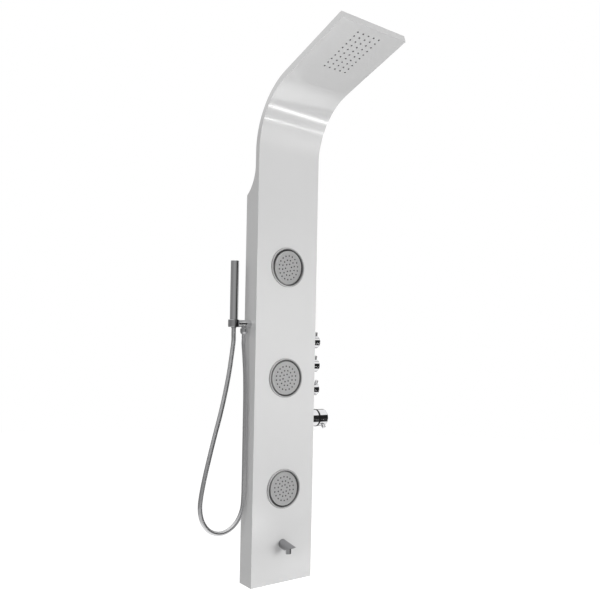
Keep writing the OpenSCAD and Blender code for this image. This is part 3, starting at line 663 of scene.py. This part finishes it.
@dataclass(frozen=True)
class PaleFloor:
    """The pale floor well below the panel, as under a panel hung on a wall."""

    height: float = -0.62
    radius: float = 9.0
    grey: float = 0.75
    glow: float = 0.72
    mirrored_near: float = 1.00
    mirrored_far: float = 0.28
    near: float = 1.1
    far: float = 1.9

    def mirrored(self, wiring: Wiring) -> Socket:
        """Makes the floor as metal mirrors it, bright below the panel and grey far off.

        Args:
            wiring: The floor's wiring.

        Returns:
            The glowing shader.
        """
        coords = wiring.new("TexCoord")
        reach = wiring.new("VectorMath")
        reach.operation = "LENGTH"
        wiring.link(coords.outputs["Object"], reach.inputs[0])
        fade = wiring.span(
            reach.outputs["Value"],
            self.mirrored_near,
            self.mirrored_far,
            limits=(
                math.hypot(self.near, self.height),
                math.hypot(self.far, self.height),
            ),
            eased=True,
        )
        return wiring.glow(fade)

    def lay(self) -> None:
        """Lays the floor, which takes the panel's shadow and looks white."""
        bm = bmesh.new()
        bmesh.ops.create_circle(
            bm, cap_ends=True, segments=FINE_STEPS, radius=self.radius
        )
        bmesh.ops.translate(bm, verts=bm.verts, vec=(0.0, 0.0, self.height))
        floor = mesh_object("floor", bm)
        material, wiring = bare_material("pale_floor")
        matt = wiring.new("BsdfDiffuse")
        matt.inputs["Color"].default_value = (self.grey, self.grey, self.grey, 1.0)
        path = wiring.new("LightPath")
        glow = wiring.reckon("MULTIPLY", path.outputs["Is Camera Ray"], self.glow)
        lit = wiring.new("AddShader")
        wiring.link(matt.outputs[0], lit.inputs[0])
        wiring.link(wiring.glow(glow), lit.inputs[1])
        seen = wiring.blend(
            path.outputs["Is Glossy Ray"], lit.outputs[0], self.mirrored(wiring)
        )
        wiring.show(seen)
        floor.data.materials.append(material)
        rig.stage(floor)


@dataclass(frozen=True)
class Studio:
    """The light, the floor and what the chrome shows of the room."""

    aim: Point = (0.0, -0.05, 0.75)
    ambient: float = 0.46
    lamps: tuple[Lamp, ...] = (
        Lamp("key_lamp", (1.8, -3.2, 0.65), (2.2, 1.5), 77.0),
        Lamp("fill_lamp", (-2.6, -1.2, 1.0), (1.2, 2.0), 12.0),
        Lamp("back_lamp", (-0.6, 2.4, 1.6), (1.8, 1.6), 12.0),
    )
    cards: tuple[Card, ...] = (
        Card.level(
            "dark_mat",
            -0.61,
            ((0.85, -1.05), (1.45, -0.45), (3.6, -0.9), (1.5, -3.6)),
            0.02,
        ),
        Card.upright("low_screen", (0.45, -0.84), (2.00, -1.26), (-0.46, -0.20), 0.02),
        Card.upright("far_screen", (1.40, -2.29), (2.89, -2.49), (-0.60, -0.45), 0.02),
        Card.level(
            "high_card",
            3.28,
            ((0.66, -2.01), (2.26, -2.01), (2.26, -0.41), (0.66, -0.41)),
            0.15,
        ),
        Card.strip(
            "bright_strip", (0.66, -1.06, -0.45), (2.18, -1.48, -0.45), 0.08, 8.0
        ),
        Card.strip(
            "faint_strip", (1.45, -2.60, -0.60), (2.75, -2.78, -0.60), 0.09, 7.0
        ),
    )

    def light_world(self) -> None:
        """Lights the room evenly and shows it white, also in metal and glass."""
        world = bpy.data.worlds.new("studio_world")
        world.use_nodes = True
        world.node_tree.nodes.clear()
        wiring = Wiring(world.node_tree)
        path = wiring.new("LightPath")
        seen = path.outputs["Is Camera Ray"]
        for ray in ("Is Glossy Ray", "Is Transmission Ray"):
            seen = wiring.reckon("MAXIMUM", seen, path.outputs[ray])
        skies = []
        for strength in (self.ambient, 1.0):
            sky = wiring.new("Background")
            sky.inputs["Color"].default_value = WHITE
            sky.inputs["Strength"].default_value = strength
            skies.append(sky.outputs[0])
        wiring.show(wiring.blend(seen, *skies), "OutputWorld")
        bpy.context.scene.world = world
        bpy.context.scene.view_settings.view_transform = "Standard"

    def build(self) -> None:
        """Lays the floor, hangs the band and the cards, and lights the room."""
        PaleFloor().lay()
        GreyBand().hang()
        for card in self.cards:
            card.put_up()
        for lamp in self.lamps:
            lamp.hang(self.aim)
        self.light_world()


class Grain(Enum):
    """Which way the fine marks of a finish run."""

    ALONG_STRIP = "along the folded strip"
    NONE = "no direction"


class NodeSheet(Wiring):
    """The wiring of one finish, round its principled shader."""

    def __init__(self, name: str) -> None:
        """Starts a material with one principled shader.

        Args:
            name: The material's name.
        """
        self.material = bpy.data.materials.new(name)
        self.material.use_nodes = True
        super().__init__(self.material.node_tree)
        self.shader = self.tree.nodes["Principled BSDF"]
        self.coords = self.new("TexCoord")

    def mapped(self, setting: str, amount: Point) -> Socket:
        """Stretches or turns the piece's own coordinates.

        Args:
            setting: Scale or Rotation.
            amount: What it is set to along X, Y and Z.

        Returns:
            The socket that gives the coordinates.
        """
        mapping = self.new("Mapping")
        mapping.inputs[setting].default_value = amount
        self.link(self.coords.outputs["Object"], mapping.inputs["Vector"])
        return mapping.outputs["Vector"]

    def noise(self, cells: float | Point, detail: float = 2.0) -> Socket:
        """Adds noise over the piece's own place.

        Args:
            cells: The number of noise cells in a metre, or that along X, Y and Z.
            detail: How many finer layers it holds.

        Returns:
            The socket that gives the noise, 0 to 1.
        """
        noise = self.new("TexNoise")
        noise.inputs["Scale"].default_value = 1.0
        noise.inputs["Detail"].default_value = detail
        stretch = cells if isinstance(cells, tuple) else (cells, cells, cells)
        self.link(self.mapped("Scale", stretch), noise.inputs["Vector"])
        return noise.outputs["Fac"]

    def roughen(self, value: Socket, at_low: float, at_high: float) -> None:
        """Sets the roughness by a value of 0 to 1, from the first to the second."""
        rough = self.span(value, at_low, at_high)
        self.link(rough, self.shader.inputs["Roughness"])

    def bump(self, height: Socket, depth: float, show: float) -> None:
        """Raises the surface by a height pattern.

        Args:
            height: The socket that gives the height, 0 to 1.
            depth: How deep the pattern is in metres.
            show: How much of it shows.
        """
        node = self.new("Bump")
        node.inputs["Distance"].default_value = depth
        node.inputs["Strength"].default_value = show
        self.link(height, node.inputs["Height"])
        self.link(node.outputs["Normal"], self.shader.inputs["Normal"])

    def tint(self, value: Socket, dark: Colour, pale: Colour) -> None:
        """Colours the surface between two colours by a value of 0 to 1.

        Args:
            value: The socket that gives the value.
            dark: The colour at 0.
            pale: The colour at 1.
        """
        mix = self.new("Mix")
        mix.data_type = "RGBA"
        for end, colour in zip(MIX_COLOURS, (dark, pale)):
            mix.inputs[end].default_value = (*colour, 1.0)
        self.link(value, mix.inputs[0])
        self.link(mix.outputs[MIXED_COLOUR], self.shader.inputs["Base Color"])

    def cloud(self, colour: Colour, cells: float, amount: float) -> None:
        """Colours the surface in faint clouds.

        Args:
            colour: The colour in the middle.
            cells: The number of clouds in a metre.
            amount: The share by which they are darker and paler than it.
        """
        dark = tuple(part * (1.0 - amount) for part in colour)
        pale = tuple(min(1.0, part * (1.0 + amount)) for part in colour)
        self.tint(self.noise(cells), dark, pale)


@dataclass(frozen=True)
class MetalFinish:
    """A metal surface, from mirror chrome to brushed sheet."""

    name: str
    colour: Colour
    roughness: float
    roughness_spread: float = 0.03
    metallic: float = 1.0
    grain: Grain = Grain.NONE
    clouds_per_metre: float = 9.0
    mottle: float = 0.04
    marks_per_metre: float = 260.0
    marks_detail: float = 3.0
    strokes_per_metre: float = 2400.0
    stroke_ends_per_metre: float = 7.0
    side_facing: float = 0.7
    depth: float = 0.00002
    show: float = 0.15

    def build(self) -> bpy.types.Material:
        """Makes the material.

        Returns:
            The material, with its colour, roughness and fine relief from nodes.
        """
        sheet = NodeSheet(self.name)
        sheet.shader.inputs["Metallic"].default_value = self.metallic
        if self.grain is Grain.ALONG_STRIP:
            height = self.strokes(sheet)
        else:
            height = sheet.noise(self.marks_per_metre, self.marks_detail)
        spread = self.roughness_spread
        sheet.roughen(height, self.roughness - spread, self.roughness + spread)
        sheet.cloud(self.colour, self.clouds_per_metre, self.mottle)
        sheet.bump(height, self.depth, self.show)
        return sheet.material

    def strokes(self, sheet: NodeSheet) -> Socket:
        """Draws brush strokes down the strip, fine across its faces and its sides.

        Args:
            sheet: The material being wired.

        Returns:
            The socket that gives the strokes' height.
        """
        fine, ends = self.strokes_per_metre, self.stroke_ends_per_metre
        on_faces = sheet.noise((fine, ends, ends))
        on_sides = sheet.noise((ends, fine, ends))
        split = sheet.new("SeparateXYZ")
        sheet.link(sheet.new("NewGeometry").outputs["Normal"], split.inputs[0])
        sideways = sheet.reckon("ABSOLUTE", split.outputs["X"])
        is_side = sheet.reckon("GREATER_THAN", sideways, self.side_facing)
        mix = sheet.new("Mix")
        sheet.link(is_side, mix.inputs[0])
        for end, strokes in zip(MIX_NUMBERS, (on_faces, on_sides)):
            sheet.link(strokes, mix.inputs[end])
        return mix.outputs[MIXED_NUMBER]


@dataclass(frozen=True)
class MouldedFinish:
    """Moulded plastic, rubber or silicone."""

    name: str
    colour: Colour
    roughness: float
    roughness_spread: float = 0.06
    clouds_per_metre: float = 30.0
    mottle: float = 0.12
    texture_per_metre: float = 900.0
    depth: float = 0.00005
    show: float = 0.25
    specular: float = 0.5

    def build(self) -> bpy.types.Material:
        """Makes the material.

        Returns:
            The material, with a fine spark-eroded texture.
        """
        sheet = NodeSheet(self.name)
        sheet.shader.inputs["Specular IOR Level"].default_value = self.specular
        texture = sheet.noise(self.texture_per_metre)
        spread = self.roughness_spread
        sheet.roughen(texture, self.roughness - spread, self.roughness + spread)
        sheet.cloud(self.colour, self.clouds_per_metre, self.mottle)
        sheet.bump(texture, self.depth, self.show)
        return sheet.material


@dataclass(frozen=True)
class BraidFinish:
    """A pressure hose with braid under its clear skin."""

    name: str
    pale: Colour
    dark: Colour
    strands_per_metre: float = 320.0
    crossing: float = math.radians(52.0)
    slant: float = 0.4
    coat: float = 0.35
    coat_roughness: float = 0.15
    strand_roughness: float = 0.35
    gap_roughness: float = 0.55
    depth: float = 0.0003
    show: float = 0.4

    def build(self) -> bpy.types.Material:
        """Makes the material.

        Returns:
            The material, whose two crossing sets of strands run round the hose.
        """
        sheet = NodeSheet(self.name)
        sheet.shader.inputs["Coat Weight"].default_value = self.coat
        sheet.shader.inputs["Coat Roughness"].default_value = self.coat_roughness
        sets = []
        for side in (1.0, -1.0):
            wave = sheet.new("TexWave")
            wave.inputs["Scale"].default_value = self.strands_per_metre / math.tau
            turn = (0.0, side * self.crossing, side * self.slant)
            sheet.link(sheet.mapped("Rotation", turn), wave.inputs["Vector"])
            sets.append(wave.outputs["Fac"])
        weave = sheet.reckon("MAXIMUM", *sets)
        sheet.tint(weave, self.dark, self.pale)
        sheet.roughen(weave, self.gap_roughness, self.strand_roughness)
        sheet.bump(weave, self.depth, self.show)
        return sheet.material


class Finish(Enum):
    """Each finish on the panel, with darker and paler copies of chrome and silicone that paint shade and highlights.
    """

    BRUSHED_FRONT = MetalFinish(
        "brushed_front_sheet", (0.80, 0.80, 0.80), 0.15, 0.02, metallic=0.20,
        grain=Grain.ALONG_STRIP, mottle=0.015, depth=0.00001, show=0.08,
    )
    PLAIN_STEEL = MetalFinish("mill_steel", (0.55, 0.56, 0.57), 0.38, 0.08)
    BRIGHT_CHROME = MetalFinish(
        "bright_chrome", (0.80, 0.80, 0.81), 0.05, 0.02, mottle=0.01, show=0.04,
    )
    SATIN_CHROME = MetalFinish(
        "satin_chrome", (0.50, 0.50, 0.50), 0.30, 0.04, metallic=0.35, mottle=0.02,
    )
    # The bezels' chrome is made dark, 0.20, far below the bright chrome: painted shade on the bezels.
    BEZEL_CHROME_PAINTED_SHADE = MetalFinish(
        "bezel_chrome", (0.20, 0.20, 0.20), 0.20, 0.04,
        metallic=0.50, mottle=0.02, show=0.05,
    )
    # A paler, mostly diffuse copy of the bezel's chrome for its lip, which keeps the bright chrome slot: a painted
    # highlight on the lip.
    LIP_CHROME_PAINTED_HIGHLIGHT = MetalFinish(
        "lip_chrome", (0.54, 0.54, 0.54), 0.20, 0.04,
        metallic=0.35, mottle=0.02, show=0.05,
    )
    # A copy of the bright chrome darkened to 0.30 for the spout tube: painted shade on the spout.
    SPOUT_CHROME_PAINTED_SHADE = MetalFinish(
        "spout_chrome", (0.30, 0.30, 0.31), 0.06, 0.02, mottle=0.02, show=0.04,
    )
    # A copy of the bright chrome darkened to 0.60 for the holder and the hose nuts: painted shade.
    HOLDER_CHROME_PAINTED_SHADE = MetalFinish(
        "holder_chrome", (0.60, 0.60, 0.61), 0.05, 0.02, mottle=0.01, show=0.04,
    )
    HOSE_CHROME = MetalFinish("hose_chrome", (0.70, 0.70, 0.71), 0.09, mottle=0.03)
    # A darker, duller copy of the grey silicone for the nozzle tips, which keep the grey silicone's slot: painted
    # shade in the nozzles.
    TIP_SILICONE_PAINTED_SHADE = MouldedFinish(
        "tip_silicone", (0.055, 0.055, 0.058), 0.55, specular=0.3
    )
    GREY_SILICONE = MouldedFinish("grey_silicone", (0.085, 0.085, 0.09), 0.55)
    BLACK_RUBBER = MouldedFinish(
        "black_rubber", (0.010, 0.010, 0.010), 0.60, specular=0.12
    )
    DARK_PLASTIC = MouldedFinish("dark_plastic", (0.030, 0.030, 0.032), 0.42)
    BRAID_HOSE = BraidFinish("braid_hose", (0.55, 0.56, 0.57), (0.22, 0.23, 0.24))
    RAW_BRASS = MetalFinish(
        "cast_brass", (0.60, 0.44, 0.20), 0.36, 0.10,
        mottle=0.10, marks_per_metre=700.0, depth=0.0002, show=0.5,
    )


class Paintbox:
    """Builds each finish once and puts it on pieces."""

    def __init__(self) -> None:
        """Starts with no finish built."""
        self.made: dict[Finish, bpy.types.Material] = {}

    def material(self, finish: Finish) -> bpy.types.Material:
        """Gives a finish's material, built the first time it is asked for.

        Args:
            finish: The finish.

        Returns:
            Its material.
        """
        if finish not in self.made:
            self.made[finish] = finish.value.build()
        return self.made[finish]

    def dress_node(self, name: str, finish: Finish) -> None:
        """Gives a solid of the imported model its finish.

        Args:
            name: The node's name.
            finish: The finish for all of its slots.
        """
        node = frame["nodes"][name]
        if not node.data.materials:
            node.data.materials.append(self.material(finish))
        for holder in node.material_slots:
            holder.material = self.material(finish)
        LOG.info("dressed %s in %s", name, finish.name)

    def dress_piece(
        self, piece: bpy.types.Object, finish: Finish, body: str, slot: str
    ) -> None:
        """Finishes a new piece and fixes it to a body.

        Args:
            piece: The piece, in place.
            finish: Its finish.
            body: The body that it rides on.
            slot: The record's material slot that it belongs to.
        """
        piece.data.materials.append(self.material(finish))
        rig.ride(piece, body)
        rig.slot(piece, slot)
        LOG.info("added %s on %s", piece.name, body)


@dataclass
class ShowerHose:
    """The ribbed hose that hangs in a loop between the outlet nut and the cone nut.

    Its route runs back from the cone nut, in millimetres: across, out from the wall
    and up.
    """

    radius: float = 6.2 * MM
    groove: float = 0.50 * MM
    crest_power: float = 0.6
    pitch: float = 3.1 * MM
    rings_per_rib: int = 6
    sides: int = 20
    samples: int = 12
    seam_gap: float = 0.01 * MM
    route_mm: tuple[tuple[int, int, int], ...] = (
        (-154, 28, 716), (-154, 28, 698), (-154, 28, 680), (-159, 28, 640),
        (-167, 29, 590), (-178, 29, 535), (-192, 30, 479), (-207, 30, 425),
        (-222, 31, 370), (-236, 31, 313), (-246, 31, 262), (-248, 31, 228),
        (-240, 31, 196), (-220, 31, 170), (-191, 31, 158), (-161, 30, 162),
        (-135, 30, 181), (-118, 30, 213), (-113, 29, 255), (-112, 29, 318),
        (-112, 28, 407), (-112, 28, 493), (-114, 28, 582), (-118, 28, 640),
        (-121, 28, 672), (-121, 28, 687), (-121, 28, 701),
    )
    line: list[Vector] = field(default_factory=list)
    lengths: list[float] = field(default_factory=list)

    def trace(self) -> None:
        """Runs a smooth line through the route, from the outlet nut to the cone nut."""
        knots = [Vector((x, -out, z)) * MM for x, out, z in reversed(self.route_mm)]
        knots = [2 * knots[0] - knots[1], *knots, 2 * knots[-1] - knots[-2]]
        for before, start, end, after in zip(knots, knots[1:], knots[2:], knots[3:]):
            straight = end - before
            square = 2 * before - 5 * start + 4 * end - after
            cube = 3 * start - before - 3 * end + after
            for step in range(self.samples):
                share = step / self.samples
                bend = straight * share + square * share**2 + cube * share**3
                self.line.append(start + bend / 2)
        self.line.append(knots[-2])
        self.lengths = [0.0]
        for start, end in zip(self.line, self.line[1:]):
            self.lengths.append(self.lengths[-1] + (end - start).length)

    def place(self, distance: float) -> tuple[Vector, Vector]:
        """Finds a point of the line.

        Args:
            distance: How far along the line it is.

        Returns:
            The point and the line's direction there.
        """
        distance = min(max(distance, 0.0), self.lengths[-1])
        low = min(bisect_right(self.lengths, distance), len(self.lengths) - 1) - 1
        step = self.lengths[low + 1] - self.lengths[low]
        share = (distance - self.lengths[low]) / step
        point = self.line[low].lerp(self.line[low + 1], share)
        before = self.line[max(low - 1, 0)]
        after = self.line[min(low + 2, len(self.line) - 1)]
        return point, (after - before).normalized()

    def build(self) -> bpy.types.Object:
        """Winds a strip round the line, so that its ribs run in one helix.

        Returns:
            The hose.
        """
        self.trace()
        total = self.lengths[-1]
        rings = int(total / self.pitch * self.rings_per_rib)
        to_wall = Vector((0.0, 1.0, 0.0))
        bm = bmesh.new()
        bmesh.ops.create_grid(bm, x_segments=self.sides, y_segments=rings, size=0.5)
        for vert in bm.verts:
            turn, share = vert.co.x + 0.5, vert.co.y + 0.5
            point, ahead = self.place(share * total)
            across = ahead.cross(to_wall).normalized()
            fore = across.cross(ahead)
            ribs_along = share * total / self.pitch + turn
            crest = abs(math.sin(math.pi * ribs_along)) ** self.crest_power
            radius = self.radius - self.groove * (1.0 - crest)
            angle = math.tau * turn
            spoke = math.cos(angle) * fore + math.sin(angle) * across
            vert.co = point + radius * spoke
        bmesh.ops.remove_doubles(bm, verts=bm.verts, dist=self.seam_gap)
        ends = [edge for edge in bm.edges if edge.is_boundary]
        bmesh.ops.holes_fill(bm, edges=ends, sides=0)
        bmesh.ops.recalc_face_normals(bm, faces=bm.faces)
        hose = mesh_object("ribbed_hose", bm)
        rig.replaces(hose, "shower_hose")
        return hose

    def hang(self, paints: Paintbox) -> None:
        """Args:
            paints: The finishes.
        """
        hose = self.build()
        hose.data.materials.append(paints.material(Finish.HOSE_CHROME))
        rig.slot(hose, "hose_metal")
        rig.cord(
            hose,
            exit=self.line[0],
            length=round(self.lengths[-1], 4),
            diameter=2 * self.radius,
            far_end="object",
            stiffness="medium",
            lay="hanging",
            path=self.line,
        )
        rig.blend(
            hose,
            "root",
            "hose_end",
            start=(-0.1215, -0.028, 0.4),
            end=(-0.1535, -0.028, 0.4),
        )
        LOG.info("hung the hose, %.3f m long", self.lengths[-1])


@dataclass
class PanelFront:
    """The folded front, its back cover and what it hangs by."""

    finishes: dict[str, Finish] = field(
        default_factory=lambda: {
            "front_shell": Finish.BRUSHED_FRONT,
            "head_cover": Finish.BRUSHED_FRONT,
            "cover_screws": Finish.PLAIN_STEEL,
            "wall_brackets": Finish.PLAIN_STEEL,
            "hanger_straps": Finish.PLAIN_STEEL,
        }
    )

    def dress(self, paints: Paintbox) -> None:
        """Finishes the sheet metal."""
        for name, finish in self.finishes.items():
            paints.dress_node(name, finish)


@dataclass
class Fittings:
    """The fittings on and behind the front, which show as their solids.

    Those of the three knobs and the three jets are named after what they belong to.
    """

    finishes: dict[str, Finish] = field(
        default_factory=lambda: {
            "rain_chamber": Finish.DARK_PLASTIC,
            "rain_nozzle_mat": Finish.GREY_SILICONE,
            "head_hose": Finish.BRAID_HOSE,
            # The bezels take the darkened chrome, which paints shade on them.
            "jet_bezels": Finish.BEZEL_CHROME_PAINTED_SHADE,
            "jet_gaskets": Finish.BLACK_RUBBER,
            "jet_housings": Finish.DARK_PLASTIC,
            "jet_ball_stems": Finish.RAW_BRASS,
            "jet_hoses": Finish.BRAID_HOSE,
            "diverter_manifold": Finish.RAW_BRASS,
            "diverter_cartridges": Finish.DARK_PLASTIC,
            "valve_lock_nuts": Finish.RAW_BRASS,
            "mixer_body": Finish.RAW_BRASS,
            "mixer_cartridge": Finish.DARK_PLASTIC,
            "mixer_sleeve": Finish.BRIGHT_CHROME,
            "mixer_seal_ring": Finish.BLACK_RUBBER,
            "mixer_lock_nut": Finish.RAW_BRASS,
            "link_pipe": Finish.RAW_BRASS,
            "mixer_handle": Finish.BRIGHT_CHROME,
            "mixer_lever": Finish.BRIGHT_CHROME,
            "mixer_stem": Finish.RAW_BRASS,
            # The holder takes the darkened chrome copy, painted shade.
            "handset_holder": Finish.HOLDER_CHROME_PAINTED_SHADE,
            "cradle_insert": Finish.DARK_PLASTIC,
            "shank_lock_nuts": Finish.RAW_BRASS,
            "outlet_union": Finish.RAW_BRASS,
            # The two hose nuts take the darkened chrome copy, painted shade.
            "outlet_hose_nut": Finish.HOLDER_CHROME_PAINTED_SHADE,
            "cone_nut": Finish.HOLDER_CHROME_PAINTED_SHADE,
            "handset_body": Finish.BRIGHT_CHROME,
            "handset_face": Finish.GREY_SILICONE,
            "handset_cap": Finish.BRIGHT_CHROME,
            # The spout tube takes the darkened chrome copy, painted shade.
            "spout_tube": Finish.SPOUT_CHROME_PAINTED_SHADE,
            "spout_aerator": Finish.BRIGHT_CHROME,
            "spout_elbow": Finish.RAW_BRASS,
            "feed_hoses": Finish.BRAID_HOSE,
        }
    )
    knobs: tuple[str, ...] = ("rain", "jets", "outlet")
    knob_finishes: dict[str, Finish] = field(
        default_factory=lambda: {
            "knob": Finish.BRIGHT_CHROME,
            "knob_pin": Finish.BRIGHT_CHROME,
            "knob_stem": Finish.RAW_BRASS,
        }
    )
    jets: tuple[str, ...] = ("top", "middle", "bottom")
    jet_finishes: dict[str, Finish] = field(
        default_factory=lambda: {
            "jet_disc": Finish.SATIN_CHROME,
            "jet_nozzles": Finish.GREY_SILICONE,
            "jet_socket": Finish.DARK_PLASTIC,
            "jet_ring": Finish.DARK_PLASTIC,
        }
    )

    def dress(self, paints: Paintbox) -> None:
        """Finishes the fittings, then the three knobs and the three jets.

        Args:
            paints: The finishes.
        """
        for name, finish in self.finishes.items():
            paints.dress_node(name, finish)
        for owners, finishes in (
            (self.knobs, self.knob_finishes),
            (self.jets, self.jet_finishes),
        ):
            for owner in owners:
                for part, finish in finishes.items():
                    paints.dress_node(f"{owner}_{part}", finish)


@dataclass
class JetFace:
    """One body jet's face: its nozzles' tips, the ring round them and the bezel's lip.

    Sizes are in millimetres and angles in degrees. The face nods and turns about the
    ball behind it. A nozzle ring is its number of nozzles, its share of the face's
    radius and the angle of its first nozzle.
    """

    name: str
    height: float
    nod: float = 0.0
    turn: float = 0.0
    ball_depth: float = 49.0
    ball_to_face: float = 13.5
    radius: float = 47.6
    nozzle_rings: tuple[tuple[int, float, float], ...] = (
        (6, 0.225, 12.0),
        (12, 0.45, 15.0),
        (18, 0.7, 10.0),
    )
    tip_steps: int = 12
    tip: Profile = (
        (0.65, -1.0), (0.65, 0.55), (0.95, 0.75), (1.45, 0.45), (2.25, 0.20),
        (2.30, -0.05), (1.6, -0.3),
    )
    bead: Profile = (
        (38.9, -0.1), (39.1, 0.25), (39.5, 0.4), (39.9, 0.25), (40.1, -0.1),
        (38.9, -0.1),
    )
    lip: Profile = (
        (52.0, 63.6), (52.2, 64.2), (52.7, 64.45), (54.0, 64.4), (55.0, 63.9),
        (55.6, 63.1), (55.75, 62.0), (55.75, 60.1), (55.0, 60.1), (52.0, 63.6),
    )

    def middle(self) -> Matrix:
        """Finds the middle of the face and the way it points.

        Returns:
            The place of a shape that stands there, whose sizes are in millimetres.
        """
        place = Matrix.Translation((0.0, -self.ball_depth, self.height))
        for degrees, axis in ((self.nod, "X"), (self.turn, "Z"), (90.0, "X")):
            place = place @ Matrix.Rotation(math.radians(degrees), 4, axis)
        reach = Matrix.Translation((0.0, 0.0, self.ball_to_face))
        return Matrix.Scale(MM, 4) @ place @ reach

    def build(self, paints: Paintbox) -> None:
        """Builds the tips and the ring on the jet's disc, and the lip on its bezel.

        Args:
            paints: The finishes.
        """
        middle = self.middle()
        tips = bmesh.new()
        for count, share, first in self.nozzle_rings:
            reach = share * self.radius
            for index in range(count):
                angle = math.radians(first + index * 360.0 / count)
                spot = (reach * math.cos(angle), reach * math.sin(angle), 0.0)
                lathe(tips, self.tip, middle @ Matrix.Translation(spot), self.tip_steps)
        piece = turned_object(f"{self.name}_nozzle_tips", tips)
        disc = f"{self.name}_disc"
        # The tips take the darker silicone copy, painted shade in the nozzles.
        paints.dress_piece(piece, Finish.TIP_SILICONE_PAINTED_SHADE, disc, "grey_silicone")
        ring = bmesh.new()
        lathe(ring, self.bead, middle)
        piece = turned_object(f"{self.name}_disc_bead", ring)
        paints.dress_piece(piece, Finish.SATIN_CHROME, disc, "satin_chrome")
        lip = bmesh.new()
        lathe(lip, self.lip, laid_over((0.0, 0.0, self.height), "X"))
        piece = turned_object(f"{self.name}_bezel_lip", lip)
        # The lip takes the paler chrome copy, which paints a highlight round the bezel.
        paints.dress_piece(piece, Finish.LIP_CHROME_PAINTED_HIGHLIGHT, "root", "bright_chrome")


@dataclass
class MixerSeal:
    """The bold black ring between the mixer's sleeve and its handle, in millimetres.

    Its profile is how far it stands out from the handle's radius, and how far along.
    """

    place: Point = (127.5, -30.0, 459.0)
    radius: float = 25.0
    profile: Profile = (
        (-3.9, 0.15), (-0.6, 0.1), (0.1, 0.5), (0.6, 1.4), (0.8, 3.0), (0.6, 4.6),
        (0.1, 5.5), (-0.6, 5.9), (-3.9, 5.85), (-3.9, 0.15),
    )

    def build(self, paints: Paintbox) -> None:
        """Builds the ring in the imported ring's place, a little prouder and rounder.

        Args:
            paints: The finishes.
        """
        bm = bmesh.new()
        profile = tuple((self.radius + out, along) for out, along in self.profile)
        lathe(bm, profile, laid_over(self.place, "Y"))
        ring = turned_object("mixer_seal_bead", bm)
        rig.replaces(ring, "mixer_seal_ring")
        paints.dress_piece(ring, Finish.BLACK_RUBBER, "root", "black_rubber")


@dataclass
class SpoutStrainer:
    """The strainer in the spout's round outlet, in millimetres."""

    place: Point = (0.0, -89.0, 89.0)
    steps: int = 48
    profile: Profile = (
        (0.0, 1.6), (0.5, 1.6), (0.8, 2.6), (1.4, 2.6), (1.7, 1.5), (2.4, 1.5),
        (2.7, 2.6), (3.3, 2.6), (3.6, 1.4), (4.3, 1.4), (4.6, 2.6), (5.2, 2.6),
        (5.5, 1.2), (6.9, 0.9), (6.95, 3.4), (0.0, 3.4),
    )

    def build(self, paints: Paintbox) -> None:
        """Builds the strainer just inside the outlet.

        Args:
            paints: The finishes.
        """
        bm = bmesh.new()
        place = Matrix.Scale(MM, 4) @ Matrix.Translation(self.place)
        lathe(bm, self.profile, place, self.steps)
        strainer = turned_object("spout_strainer", bm, smooth=False)
        paints.dress_piece(strainer, Finish.DARK_PLASTIC, "root", "dark_plastic")


JETS = (
    JetFace("top", 892.5, nod=4.0, turn=4.0),
    JetFace("middle", 579.5),
    JetFace("bottom", 265.5, nod=-3.0, turn=3.0),
)


def write_sizes() -> None:
    """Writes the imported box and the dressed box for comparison."""
    with open("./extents.json", "w") as out:
        boxes = {"cad": CAD_BOX, "visual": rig.bounds()}
        json.dump({k: [[float(c) for c in p] for p in v] for k, v in boxes.items()}, out)


def main() -> None:
    """Sets the camera, hangs the hose, then dresses the rest in order."""
    logging.basicConfig(level=logging.INFO, format="%(name)s: %(message)s")
    PhotoCamera().set_up()
    paints = Paintbox()
    ShowerHose().hang(paints)
    PanelFront().dress(paints)
    Fittings().dress(paints)
    for jet in JETS:
        jet.build(paints)
    MixerSeal().build(paints)
    SpoutStrainer().build(paints)
    Studio().build()
    write_sizes()


if __name__ == "__main__":
    main()
